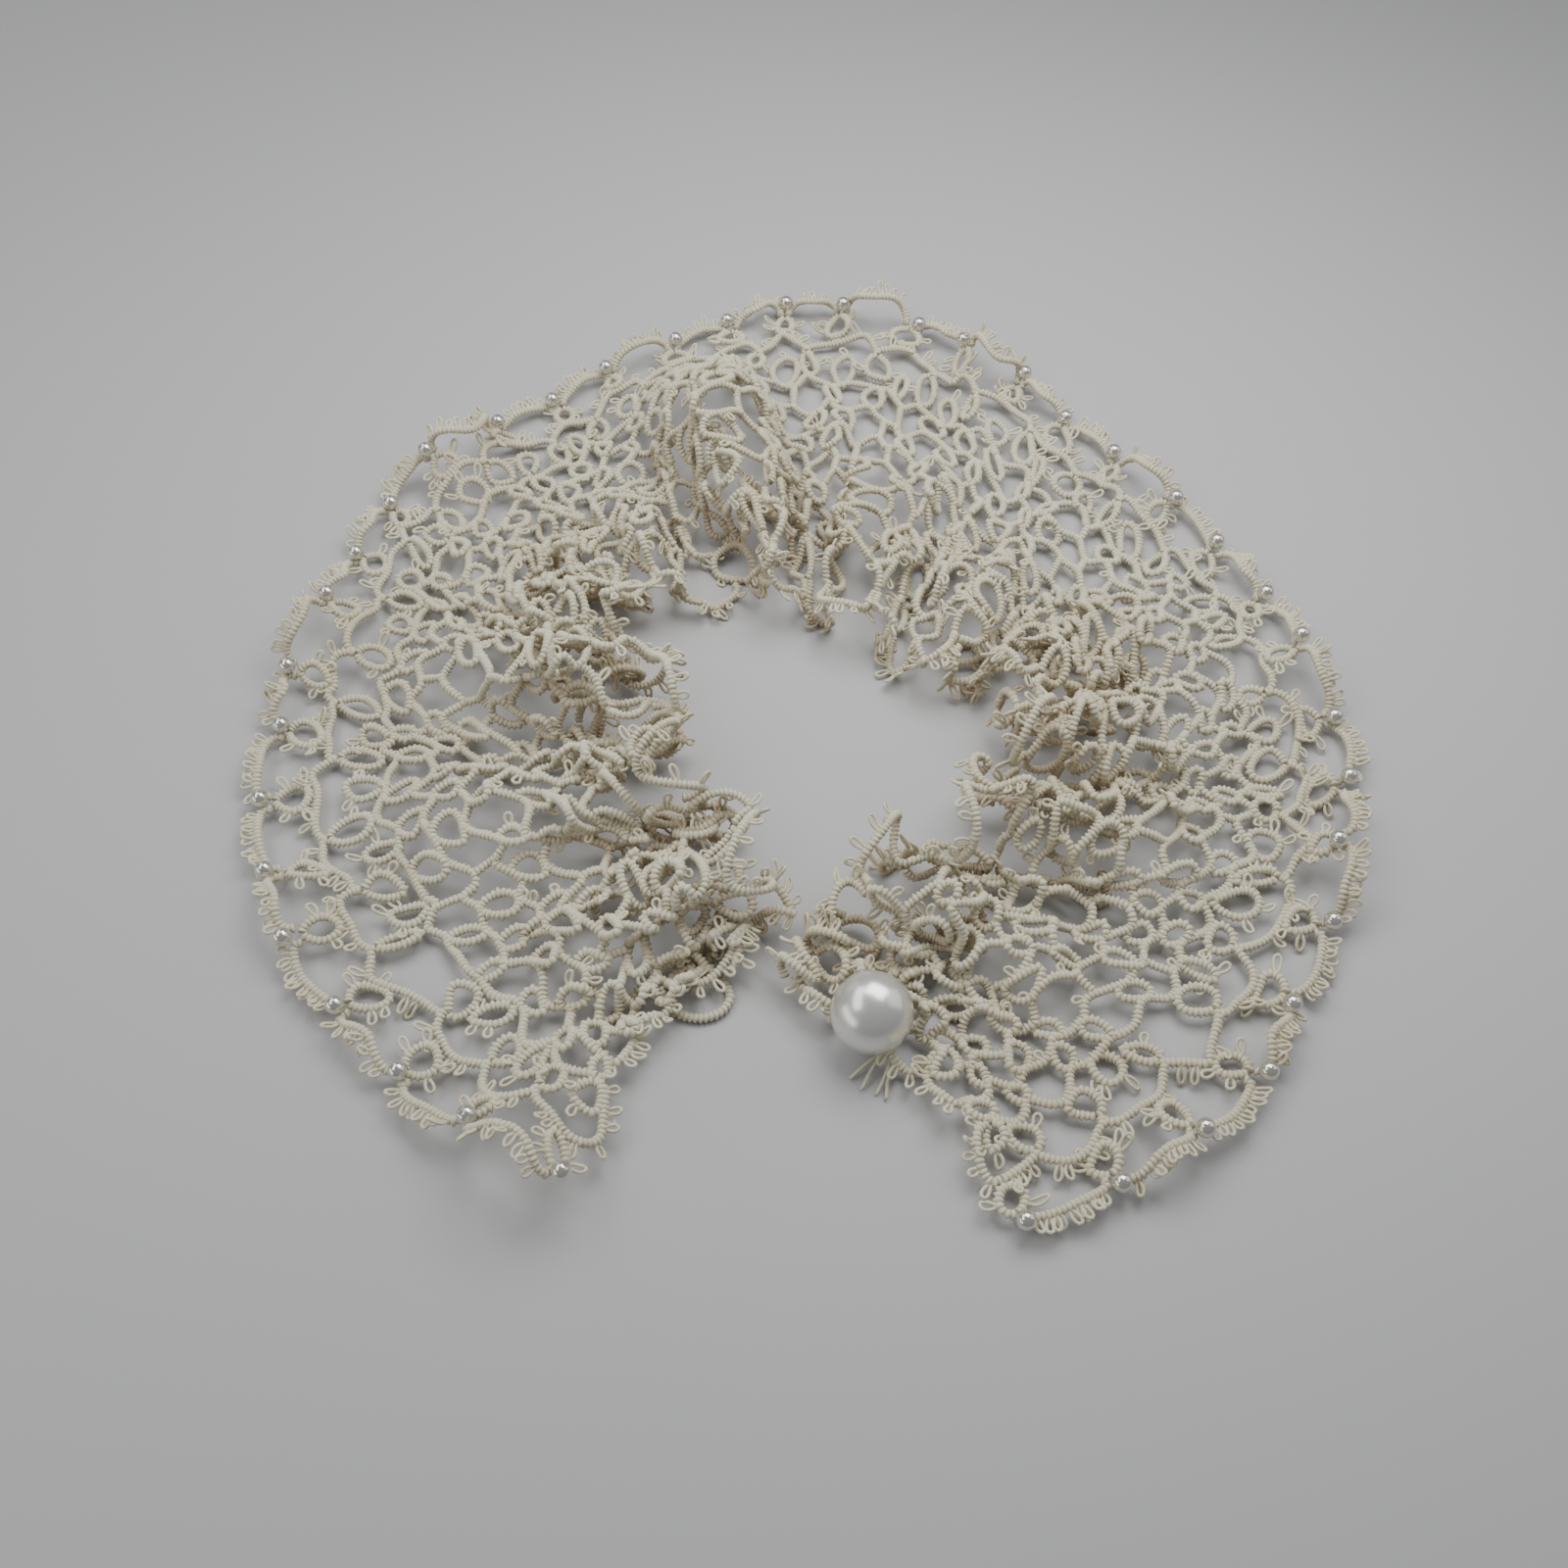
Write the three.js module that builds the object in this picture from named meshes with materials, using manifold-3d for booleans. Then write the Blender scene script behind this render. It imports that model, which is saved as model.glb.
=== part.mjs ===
// A lace collar, laid open on a flat surface with its front towards -Y.
//
// The collar is one long curved band of knotted thread lace. Every place on it has two
// coordinates: u counts the scallops of the outer edge, from the left front round the back
// to the right front, and v is the depth in millimetres from the line of joints between
// the outer scallops in towards the neck. Eight rows of cells with a hole in each fill the
// band like a honeycomb, and the neck edge is much longer than the line it lies on, so it
// stands up in ruffles. Millimetres, +Z up, underside at z = 0.

import * as THREE from 'three';
import { mergeVertices } from 'three/addons/utils/BufferGeometryUtils.js';
import Module from 'manifold-3d';

// ---- Driving dimensions ----

const repeats = 37;             // scallops along the outer edge
const laceThickness = 1.8;      // wall of knotted thread
const neckLine = 62;            // depth of the joints between the neck scallops
const zigzag = 1.5;             // half height of the honeycomb's slanted edges
const outerPitch = 14.6;        // one repeat measured along the outer edge
const seamGap = 0.32;           // clearance between two pieces
const seamDraw = 0.6;           // share of the gap that each side of a seam is drawn back
const steepness = 0.12;         // how far the side of a fold is pushed upright

const buttonDiameter = 12.4;
const buttonHeight = 6.6;
const buttonTilt = 0.45;        // radians, the face leans towards the front
const buttonTurn = -0.15;       // radians, and a little to the left
const buttonSeat = { u: 37, v: 48.2 };  // the strand of lace that it is sewn to
const buttonRim = 1;            // height of the upright rim under the dome
const buttonBack = 0.8;         // radius of the flat back, as a share of the rim's
const shankLength = 3.2;
const shankRadius = 1.9;
const shankHole = 0.8;
const shankSink = 0.5;          // how far the shank goes up into the back

const loopCord = 1.6;
const loopRadius = 4.6;         // to the middle of the loop's cord
const loopPlace = { x: -11.0, y: -43.6 };

// ---- The plan of the band ----
// One row for each sixteenth of the collar's length: the line of outer joints, the line
// that the neck edge stands on, and how far the cross line between them bows sideways.

const plan = [
    // outerX outerY neckX  neckY  bowX bowY
    [-31.0, -73.5,  -7.5, -34.0, -5.0, 5.5],
    [-60.5, -51.0,  -5.0, -18.5,  0.0, 0.0],
    [-81.0, -24.6, -11.5,  -5.5,  0.0, 0.0],
    [-88.1,   8.4, -19.5,   6.5,  0.0, 0.0],
    [-83.6,  40.6, -26.0,  19.0,  0.0, 0.0],
    [-72.7,  71.7, -29.5,  32.0,  0.0, 0.0],
    [-48.3,  93.5, -22.0,  44.0,  0.0, 0.0],
    [-21.5, 113.5,  -8.5,  49.5,  0.0, 0.0],
    [  6.5, 125.5,   4.5,  44.3,  0.0, 0.0],
    [ 37.0, 113.0,  16.5,  36.5,  0.0, 0.0],
    [ 58.1,  87.6,  28.5,  28.0,  0.0, 0.0],
    [ 77.7,  60.3,  39.0,  18.5,  0.0, 0.0],
    [ 91.3,  30.4,  41.0,   8.0,  0.0, 0.0],
    [ 94.5,  -2.7,  36.0,  -5.0,  0.0, 0.0],
    [ 83.0, -34.5,  25.5, -15.5,  0.0, 0.0],
    [ 62.5, -61.5,  13.0, -25.0,  0.0, 0.0],
    [ 32.5, -75.5,   2.0, -37.0,  6.9, 1.0],
];
const [OUTER_X, OUTER_Y, NECK_X, NECK_Y, BOW_X, BOW_Y] = [0, 1, 2, 3, 4, 5];

// Ruffles of the neck edge. Each starts at one share of the depth and is at its full height
// at another.
const folds = [
    { at:  2.2, half: 1.7, height: 10, start: 0.20, full: 1.1, leanOut:  1, sweep:  0.4 },
    { at:  5.2, half: 1.6, height: 12, start: 0.25, full: 1.1, leanOut:  1, sweep: -0.3 },
    { at:  8.2, half: 1.7, height: 15, start: 0.15, full: 1.0, leanOut:  2, sweep:  0.3 },
    { at: 11.1, half: 1.5, height: 11, start: 0.30, full: 1.1, leanOut:  1, sweep: -0.3 },
    { at: 13.8, half: 1.4, height:  8, start: 0.40, full: 1.1, leanOut:  0, sweep:  0.3 },
    { at: 16.9, half: 1.8, height: 16, start: 0.00, full: 0.7, leanOut:  1, sweep: -1.1 },
    { at: 20.2, half: 1.5, height:  8, start: 0.40, full: 1.1, leanOut:  0, sweep:  0.2 },
    { at: 23.2, half: 1.5, height:  8, start: 0.40, full: 1.1, leanOut:  0, sweep: -0.3 },
    { at: 26.3, half: 1.7, height: 13, start: 0.25, full: 1.1, leanOut:  2, sweep:  0.4 },
    { at: 29.0, half: 1.5, height: 13, start: 0.18, full: 1.0, leanOut:  1, sweep: -0.3 },
    { at: 31.6, half: 1.5, height: 12, start: 0.15, full: 1.1, leanOut:  2, sweep: -0.6 },
    { at: 34.2, half: 1.4, height:  9, start: 0.20, full: 1.1, leanOut:  1, sweep: -0.6 },
];

// Places where the outer edge curls up, each dying out at a share of the depth.
const lifts = [
    { at:  0.4, half: 1.3, height: 9, reach: 0.40 },
    { at:  4.4, half: 0.9, height: 3, reach: 0.30 },
    { at:  8.6, half: 1.0, height: 7, reach: 0.35 },
    { at: 12.3, half: 1.0, height: 8, reach: 0.35 },
    { at: 15.4, half: 0.8, height: 3, reach: 0.25 },
    { at: 19.5, half: 0.8, height: 5, reach: 0.28 },
    { at: 21.3, half: 0.8, height: 6, reach: 0.28 },
    { at: 24.6, half: 0.8, height: 4, reach: 0.28 },
    { at: 28.2, half: 0.9, height: 5, reach: 0.30 },
    { at: 31.0, half: 0.8, height: 7, reach: 0.28 },
    { at: 35.2, half: 0.8, height: 3, reach: 0.25 },
];

// Low swells of the middle of the band, as waves of u and v.
const swells = [
    { height: 2.2, perRepeat: 1.15, perDepth:  0.060, phase: 0.4 },
    { height: 1.6, perRepeat: 0.52, perDepth: -0.095, phase: 2.1 },
];

// The rows of cells. "middle" is where a cell's centre falls within its repeat, "from" and
// "to" are the lines around the row, and the hole is an oval of "corners" corners.
const rows = [
    { piece: 'outer_edging', middle: 0.5, from: 0.0, to: 9.2, hole: [-2.4, 6.6], width: 0.66, corners: 8 },
    { piece: 'ground', middle: 0.0, from: 9.2, to: 18.5, hole: [10.4, 17.0], width: 0.56, corners: 6 },
    { piece: 'ground', middle: 0.5, from: 18.5, to: 26.0, hole: [20.0, 24.6], width: 0.60, corners: 6 },
    { piece: 'ground', middle: 0.0, from: 26.0, to: 33.3, hole: [27.4, 32.0], width: 0.60, corners: 6 },
    { piece: 'ground', middle: 0.5, from: 33.3, to: 40.6, hole: [34.7, 39.2], width: 0.60, corners: 6 },
    { piece: 'ground', middle: 0.0, from: 40.6, to: 48.0, hole: [42.0, 46.6], width: 0.60, corners: 6 },
    { piece: 'neck_edging', middle: 0.5, from: 48.0, to: 57.0, hole: [49.9, 55.4], width: 0.58, corners: 6 },
    { piece: 'neck_edging', middle: 0.0, from: 57.0, to: 62.0, hole: [58.6, 65.2], width: 0.62, corners: 7 },
];
const outerBulge = 4.6;         // height of an outer scallop over its joints
const neckBulge = 5.6;
const scallopRound = 0.6;       // under 1, so that the scallops are fuller than a half wave
const scallopSteps = 6;

// The stretches that the band is worked in, with the repeats each one covers.
const stretches = [
    { name: 'left_front',     first:  0, last:  6 },
    { name: 'left_shoulder',  first:  7, last: 14 },
    { name: 'back',           first: 15, last: 21 },
    { name: 'right_shoulder', first: 22, last: 29 },
    { name: 'right_front',    first: 30, last: 37 },
];

// ---- The surface that the middle of the lace follows ----

// A smooth curve through one column of the plan, also a little past its two ends.
function column(index, share) {
    const last = plan.length - 1;
    const place = share * last;
    const i = Math.min(Math.max(Math.floor(place), 0), last - 1);
    const x = place - i;
    const b = plan[i][index];
    const c = plan[i + 1][index];
    const a = i > 0 ? plan[i - 1][index] : 2 * b - c;
    const d = i + 2 <= last ? plan[i + 2][index] : 2 * c - b;
    return b + 0.5 * x * (c - a + x * (2 * a - 5 * b + 4 * c - d + x * (3 * (b - c) + d - a)));
}

function smooth(from, to, value) {
    const x = Math.min(Math.max((value - from) / (to - from), 0), 1);
    return x * x * (3 - 2 * x);
}

function bump(x) {
    return Math.abs(x) < 1 ? (1 + Math.cos(Math.PI * x)) / 2 : 0;
}

// The plain cross line at u: its ends and its bow.
function crossLine(u) {
    const share = u / repeats;
    const at = (i) => column(i, share);
    return {
        outer: new THREE.Vector2(at(OUTER_X), at(OUTER_Y)),
        neck: new THREE.Vector2(at(NECK_X), at(NECK_Y)),
        bow: new THREE.Vector2(at(BOW_X), at(BOW_Y)),
    };
}

function flatPoint(u, t) {
    const { outer, neck, bow } = crossLine(u);
    const clamped = Math.min(Math.max(t, 0), 1);
    return outer.lerp(neck, t).addScaledVector(bow, 4 * clamped * (1 - clamped));
}

// Where the middle of the lace's thickness lies at (u, v).
function lacePoint(u, v) {
    const t = v / neckLine;
    const ground = flatPoint(u, t);
    const along = flatPoint(u + 0.1, t).sub(flatPoint(u - 0.1, t)).divideScalar(0.2);
    const outward = flatPoint(u, t - 0.05).sub(flatPoint(u, t + 0.05)).normalize();
    let height = 0;
    for (const fold of folds) {
        const x = (u - fold.at - fold.sweep * (1 - t)) / fold.half;
        const growth = smooth(fold.start, fold.full, t);
        height += fold.height * growth * bump(x);
        ground.addScaledVector(outward, fold.leanOut * growth * bump(x));
        if (Math.abs(x) < 1) {
            const push = steepness * fold.half * growth;
            ground.addScaledVector(along, push * Math.sin(2 * Math.PI * x));
        }
    }
    for (const lift of lifts) {
        height += lift.height * smooth(lift.reach, -0.1, t) * bump((u - lift.at) / lift.half);
    }
    let swell = 0;
    for (const wave of swells) {
        swell += wave.height * Math.sin(wave.perRepeat * u + wave.perDepth * v + wave.phase);
    }
    height += Math.max(swell, 0) * bump(2 * t - 1);
    return new THREE.Vector3(ground.x, ground.y, laceThickness / 2 + height);
}

// The directions of the lace at (u, v): along the band, towards the neck, and up out of it.
function laceFrame(u, v) {
    const du = 0.02;
    const dv = 0.2;
    const along = lacePoint(u + du, v).sub(lacePoint(u - du, v)).divideScalar(2 * du);
    const inward = lacePoint(u, v + dv).sub(lacePoint(u, v - dv)).divideScalar(2 * dv);
    const up = new THREE.Vector3().crossVectors(inward, along).normalize();
    return { along, inward, up };
}

// ---- Cells ----

// A cell's outline, clockwise or not, as [u, v] points: honeycomb sides, or a scallop where
// the cell is on one of the band's two edges.
function cellOutline(row, u) {
    const points = [];
    if (row === rows[0]) {
        for (let i = 0; i <= scallopSteps; i += 1) {
            const share = i / scallopSteps;
            points.push([u - 0.5 + share, -outerBulge * Math.sin(Math.PI * share) ** scallopRound]);
        }
    } else {
        points.push([u - 0.5, row.from + zigzag], [u, row.from - zigzag], [u + 0.5, row.from + zigzag]);
    }
    if (row === rows[rows.length - 1]) {
        for (let i = 0; i <= scallopSteps; i += 1) {
            const share = i / scallopSteps;
            points.push([u + 0.5 - share, neckLine + neckBulge * Math.sin(Math.PI * share) ** scallopRound]);
        }
    } else {
        points.push([u + 0.5, row.to - zigzag], [u, row.to + zigzag], [u - 0.5, row.to - zigzag]);
    }
    return points;
}

function cellHole(row, u) {
    const [from, to] = row.hole;
    const points = [];
    for (let i = 0; i < row.corners; i += 1) {
        const angle = 2 * Math.PI * i / row.corners;
        points.push([
            u - row.width / 2 * Math.cos(angle),
            (from + to) / 2 + (to - from) / 2 * Math.sin(angle),
        ]);
    }
    return points;
}

function cellsOf(piece, stretch) {
    const cells = [];
    for (const row of rows.filter((r) => r.piece === piece)) {
        for (let k = stretch.first; k <= stretch.last; k += 1) {
            if (k + row.middle <= repeats) {
                const u = k + row.middle;
                const middle = [u, (row.hole[0] + row.hole[1]) / 2];
                cells.push({ u, middle, outline: cellOutline(row, u), hole: cellHole(row, u) });
            }
        }
    }
    return cells;
}

const keyOf = ([u, v]) => `${Math.round(u * 1000)},${Math.round(v * 100)}`;

// Which pieces use each outline point: points used by two pieces are drawn apart.
const users = new Map();
const laceNodes = [];
for (const stretch of stretches) {
    for (const piece of ['outer_edging', 'ground', 'neck_edging']) {
        const name = `${piece}_${stretch.name}`;
        const cells = cellsOf(piece, stretch);
        laceNodes.push({ name, piece, cells });
        for (const cell of cells) {
            for (const point of cell.outline) {
                users.set(keyOf(point), (users.get(keyOf(point)) ?? new Set()).add(name));
            }
        }
    }
}

// ---- From cells to a closed wall ----

// Faces between an outline and its hole, both given in the same turning direction: each
// step goes on along whichever ring is behind, as seen from the cell's middle.
function ringFaces(outline, hole, middle) {
    const turned = (corner, start) => {
        const angle = Math.atan2(corner.v - middle[1], (corner.u - middle[0]) * outerPitch);
        return (angle - start + 4 * Math.PI + 1e-9) % (2 * Math.PI);
    };
    const start = Math.atan2(outline[0].v - middle[1], (outline[0].u - middle[0]) * outerPitch);
    const byAngle = (ring) => ring
        .map((corner) => ({ index: corner.index, angle: turned(corner, start) }))
        .sort((a, b) => a.angle - b.angle);
    const [outer, inner] = [byAngle(outline), byAngle(hole)];
    const angleAt = (ring, i) => ring[i % ring.length].angle + (i >= ring.length ? 2 * Math.PI : 0);
    const faces = [];
    let i = 0;
    let j = 0;
    while (i < outer.length || j < inner.length) {
        const [a, b] = [outer[i % outer.length].index, inner[j % inner.length].index];
        if (j >= inner.length || (i < outer.length && angleAt(outer, i + 1) <= angleAt(inner, j + 1))) {
            i += 1;
            faces.push([a, b, outer[i % outer.length].index]);
        } else {
            j += 1;
            faces.push([a, b, inner[j % inner.length].index]);
        }
    }
    return faces;
}

function laceWall({ name, cells }) {
    const corners = new Map();
    const corner = (point) => {
        const key = keyOf(point);
        if (!corners.has(key)) {
            const shared = users.get(key)?.size > 1;
            const index = corners.size;
            corners.set(key, { u: point[0], v: point[1], index, pull: [0, 0], shared });
        }
        return corners.get(key);
    };

    const triangles = [];
    for (const cell of cells) {
        const outline = cell.outline.map(corner);
        const hole = cell.hole.map(corner);
        const middleV = cell.outline.reduce((sum, [, v]) => sum + v, 0) / cell.outline.length;
        for (const c of outline) {
            c.pull[0] += cell.u - c.u;
            c.pull[1] += middleV - c.v;
        }
        triangles.push(...ringFaces(outline, hole, cell.middle));
    }

    // Outline points shared with another piece are drawn back from the seam.
    const count = corners.size;
    const positions = new Float32Array(count * 6);
    for (const c of corners.values()) {
        const middle = lacePoint(c.u, c.v);
        const { along, inward, up } = laceFrame(c.u, c.v);
        if (c.shared) {
            const pull = along.multiplyScalar(c.pull[0]).addScaledVector(inward, c.pull[1]);
            middle.add(pull.setLength(seamDraw * seamGap));
        }
        middle.clone().addScaledVector(up, laceThickness / 2).toArray(positions, c.index * 3);
        const under = middle.addScaledVector(up, -laceThickness / 2);
        under.z = Math.max(under.z, 0);
        under.toArray(positions, (count + c.index) * 3);
    }

    // Upper faces, lower faces turned over, and a wall under every edge that has one face.
    const byIndex = [...corners.values()];
    const faces = [];
    const edges = new Map();
    for (const [a, b, c] of triangles) {
        faces.push(a, b, c, count + a, count + c, count + b);
        for (const [p, q] of [[a, b], [b, c], [c, a]]) {
            edges.set(`${p},${q}`, [p, q]);
        }
    }
    for (const [p, q] of edges.values()) {
        if (!edges.has(`${q},${p}`)) {
            // Both pieces at a seam split their wall faces along the same diagonal.
            const [low, high] = [p, q].map((index) => byIndex[index].u * outerPitch + byIndex[index].v);
            faces.push(...(low < high
                ? [count + p, count + q, q, count + p, q, p]
                : [count + p, count + q, p, count + q, q, p]));
        }
    }
    const geometry = new THREE.BufferGeometry();
    geometry.setAttribute('position', new THREE.BufferAttribute(positions, 3));
    geometry.setIndex(faces);
    geometry.name = name;
    return geometry;
}

// ---- Button ----

const wasm = await Module();
wasm.setup();

function toManifold(geometry) {
    const bare = geometry.clone();
    bare.deleteAttribute('normal');
    bare.deleteAttribute('uv');
    const merged = mergeVertices(bare, 1e-4);
    return new wasm.Manifold(new wasm.Mesh({
        numProp: 3,
        vertProperties: merged.attributes.position.array,
        triVerts: new Uint32Array(merged.index.array),
    }));
}

function fromManifold(solid) {
    const mesh = solid.getMesh();
    const geometry = new THREE.BufferGeometry();
    geometry.setAttribute('position', new THREE.BufferAttribute(mesh.vertProperties, 3));
    geometry.setIndex(new THREE.BufferAttribute(mesh.triVerts, 1));
    return geometry;
}

// A half ball with a shank under it; the shank has a cross hole for the thread. The origin
// is the foot of the shank.
function buttonGeometry() {
    const radius = buttonDiameter / 2;
    const profile = [new THREE.Vector2(0, shankLength)];
    const domeSteps = 6;
    profile.push(new THREE.Vector2(radius * buttonBack, shankLength));
    for (let i = 0; i <= domeSteps; i += 1) {
        const angle = (Math.PI / 2) * (i / domeSteps);
        const y = shankLength + buttonRim + (buttonHeight - buttonRim) * Math.sin(angle);
        profile.push(new THREE.Vector2(i === domeSteps ? 0 : radius * Math.cos(angle), y));
    }
    const dome = new THREE.LatheGeometry(profile, 24);
    const shankTop = shankLength + shankSink;
    const shank = new THREE.CylinderGeometry(shankRadius, shankRadius, shankTop, 12);
    shank.translate(0, shankTop / 2, 0);
    const hole = new THREE.CylinderGeometry(shankHole, shankHole, 4 * shankRadius, 8);
    hole.rotateZ(Math.PI / 2).translate(0, shankLength / 2, 0);
    const solid = toManifold(dome).add(toManifold(shank)).subtract(toManifold(hole));
    return fromManifold(solid).rotateX(Math.PI / 2);
}

// ---- Button loop: a ring of cord flat on the surface ----

function loopGeometry() {
    const sides = 8;
    const profile = [];
    const reach = loopCord / 2 / Math.cos(Math.PI / sides);
    for (let i = 0; i <= sides; i += 1) {
        const angle = 2 * Math.PI * (i + 0.5) / sides;
        const radius = loopRadius + reach * Math.cos(angle);
        profile.push(new THREE.Vector2(radius, loopCord / 2 + reach * Math.sin(angle)));
    }
    return new THREE.LatheGeometry(profile, 24).rotateX(Math.PI / 2);
}

// ---- Materials and assembly ----

const thread = () => new THREE.MeshStandardMaterial({ color: 0xe4e0d4, roughness: 0.85, metalness: 0 });
const pearl = () => new THREE.MeshStandardMaterial({ color: 0xf2f1ec, roughness: 0.2, metalness: 0 });

const collar = new THREE.Group();
for (const node of laceNodes) {
    const mesh = new THREE.Mesh(laceWall(node), thread());
    mesh.name = node.name;
    collar.add(mesh);
}

const loop = new THREE.Mesh(loopGeometry(), thread());
loop.name = 'button_loop';
loop.position.set(loopPlace.x, loopPlace.y, 0);
collar.add(loop);

const button = new THREE.Mesh(buttonGeometry(), pearl());
button.name = 'pearl_button';
const footDrop = shankRadius * Math.sin(Math.hypot(buttonTilt, buttonTurn));
button.rotation.set(buttonTilt, buttonTurn, 0);
button.position.copy(lacePoint(buttonSeat.u, buttonSeat.v));
button.position.z += laceThickness / 2 + seamGap + footDrop;
collar.add(button);

// The origin is under the middle of the finished collar.
const middle = new THREE.Box3().setFromObject(collar).getCenter(new THREE.Vector3());
collar.position.set(-middle.x, -middle.y, 0);

export default collar;
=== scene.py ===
# %% [markdown]
# # A tatted lace collar
#
# Tatting is lace that is knotted with a small shuttle. The thread makes double stitches,
# the stitches are drawn up into rings or bent into arcs, and little loops of bare thread
# between them, the picots, stand along the edges. This collar is a curved band of such
# rings and arcs, with seed pearls on its outer edge, one pearl button and one loop.
#
# The solid model already holds the band's true shape as a pierced wall. Here the wall is
# replaced by the thread itself. It is loaded first, because every piece is built round it.

# %% Load the solid model
import math

import bpy
import numpy as np
from mathutils import Euler, Matrix, Vector


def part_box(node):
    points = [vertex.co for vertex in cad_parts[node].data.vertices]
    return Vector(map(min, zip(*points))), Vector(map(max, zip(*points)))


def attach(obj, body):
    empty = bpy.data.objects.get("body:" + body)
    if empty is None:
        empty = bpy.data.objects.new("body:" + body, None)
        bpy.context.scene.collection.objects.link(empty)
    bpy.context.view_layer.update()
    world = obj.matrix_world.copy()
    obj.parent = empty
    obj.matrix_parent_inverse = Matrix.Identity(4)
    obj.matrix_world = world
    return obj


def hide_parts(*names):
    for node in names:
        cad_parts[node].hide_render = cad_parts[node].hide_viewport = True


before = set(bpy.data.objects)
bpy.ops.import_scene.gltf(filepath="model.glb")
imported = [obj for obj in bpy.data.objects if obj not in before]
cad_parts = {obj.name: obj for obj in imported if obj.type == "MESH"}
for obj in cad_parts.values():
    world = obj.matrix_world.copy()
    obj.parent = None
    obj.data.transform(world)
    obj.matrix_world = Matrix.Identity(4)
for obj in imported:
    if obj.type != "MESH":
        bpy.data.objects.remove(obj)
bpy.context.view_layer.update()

MM = 0.001

# %% [markdown]
# ## Where the pattern lies
#
# The collar's plan is measured from the point that the camera looks at, and the solid model
# was moved so that its origin is under its own middle. The button loop is in both, so the
# distance between its two places says how far the plan has to be moved.

# %% From the plan to the model
LOOP_PLACE = np.array([-11.0, -43.6])   # the loop's middle in the plan, mm
loop_low, loop_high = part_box("button_loop")
loop_middle = np.array((loop_low + loop_high) / 2) / MM
plan_shift = loop_middle[:2] - LOOP_PLACE
print("plan moved by, mm:", plan_shift.round(3))

# %% [markdown]
# ## Camera
#
# A collar on a table is looked at from in front and above. The lens is a plain wide one,
# so the camera stands close, and the near side of the collar looks a little larger.

# %% Camera
CAMERA_BACK = 155.2   # mm in front of the point it looks at
CAMERA_UP = 213.5     # mm above the table

camera_data = bpy.data.cameras.new("camera")
camera_data.lens = 36
camera_data.sensor_width = 36
camera_data.clip_start = 0.01
camera = bpy.data.objects.new("camera", camera_data)
bpy.context.scene.collection.objects.link(camera)
camera.location = Vector((plan_shift[0], plan_shift[1] - CAMERA_BACK, CAMERA_UP)) * MM
camera.rotation_euler = (math.atan2(CAMERA_BACK, CAMERA_UP), 0, 0)
bpy.context.scene.camera = camera
print("camera at, mm:", [round(c / MM, 1) for c in camera.location])

# %% [markdown]
# ## The surface that the lace follows
#
# Every place in the band has two numbers. `u` counts the scallops of the outer edge from
# the left front round the back to the right front, and `v` is the depth in millimetres
# from the outer joints in towards the neck. The functions below give the place in space
# for any u and v, from the same plan, folds and lifts as the solid model, so the thread
# comes to lie exactly where the wall is. They work on whole arrays at once, because the
# thread has tens of thousands of stations.

# %% Plan, folds and lifts
REPEATS = 37
LACE_THICKNESS = 1.8
NECK_LINE = 62.0
STEEPNESS = 0.12      # how far the side of a fold is pushed upright

PLAN = np.array([
    # outerX outerY neckX  neckY  bowX bowY
    [-31.0, -73.5,  -7.5, -34.0, -5.0, 5.5],
    [-60.5, -51.0,  -5.0, -18.5,  0.0, 0.0],
    [-81.0, -24.6, -11.5,  -5.5,  0.0, 0.0],
    [-88.1,   8.4, -19.5,   6.5,  0.0, 0.0],
    [-83.6,  40.6, -26.0,  19.0,  0.0, 0.0],
    [-72.7,  71.7, -29.5,  32.0,  0.0, 0.0],
    [-48.3,  93.5, -22.0,  44.0,  0.0, 0.0],
    [-21.5, 113.5,  -8.5,  49.5,  0.0, 0.0],
    [  6.5, 125.5,   4.5,  44.3,  0.0, 0.0],
    [ 37.0, 113.0,  16.5,  36.5,  0.0, 0.0],
    [ 58.1,  87.6,  28.5,  28.0,  0.0, 0.0],
    [ 77.7,  60.3,  39.0,  18.5,  0.0, 0.0],
    [ 91.3,  30.4,  41.0,   8.0,  0.0, 0.0],
    [ 94.5,  -2.7,  36.0,  -5.0,  0.0, 0.0],
    [ 83.0, -34.5,  25.5, -15.5,  0.0, 0.0],
    [ 62.5, -61.5,  13.0, -25.0,  0.0, 0.0],
    [ 32.5, -75.5,   2.0, -37.0,  6.9, 1.0],
])
OUTER, NECK, BOW = slice(0, 2), slice(2, 4), slice(4, 6)

FOLDS = [
    # at  half height start full lean sweep
    (2.2, 1.7, 10, 0.20, 1.1, 1, 0.4),
    (5.2, 1.6, 12, 0.25, 1.1, 1, -0.3),
    (8.2, 1.7, 15, 0.15, 1.0, 2, 0.3),
    (11.1, 1.5, 11, 0.30, 1.1, 1, -0.3),
    (13.8, 1.4, 8, 0.40, 1.1, 0, 0.3),
    (16.9, 1.8, 16, 0.00, 0.7, 1, -1.1),
    (20.2, 1.5, 8, 0.40, 1.1, 0, 0.2),
    (23.2, 1.5, 8, 0.40, 1.1, 0, -0.3),
    (26.3, 1.7, 13, 0.25, 1.1, 2, 0.4),
    (29.0, 1.5, 13, 0.18, 1.0, 1, -0.3),
    (31.6, 1.5, 12, 0.15, 1.1, 2, -0.6),
    (34.2, 1.4, 9, 0.20, 1.1, 1, -0.6),
]
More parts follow.
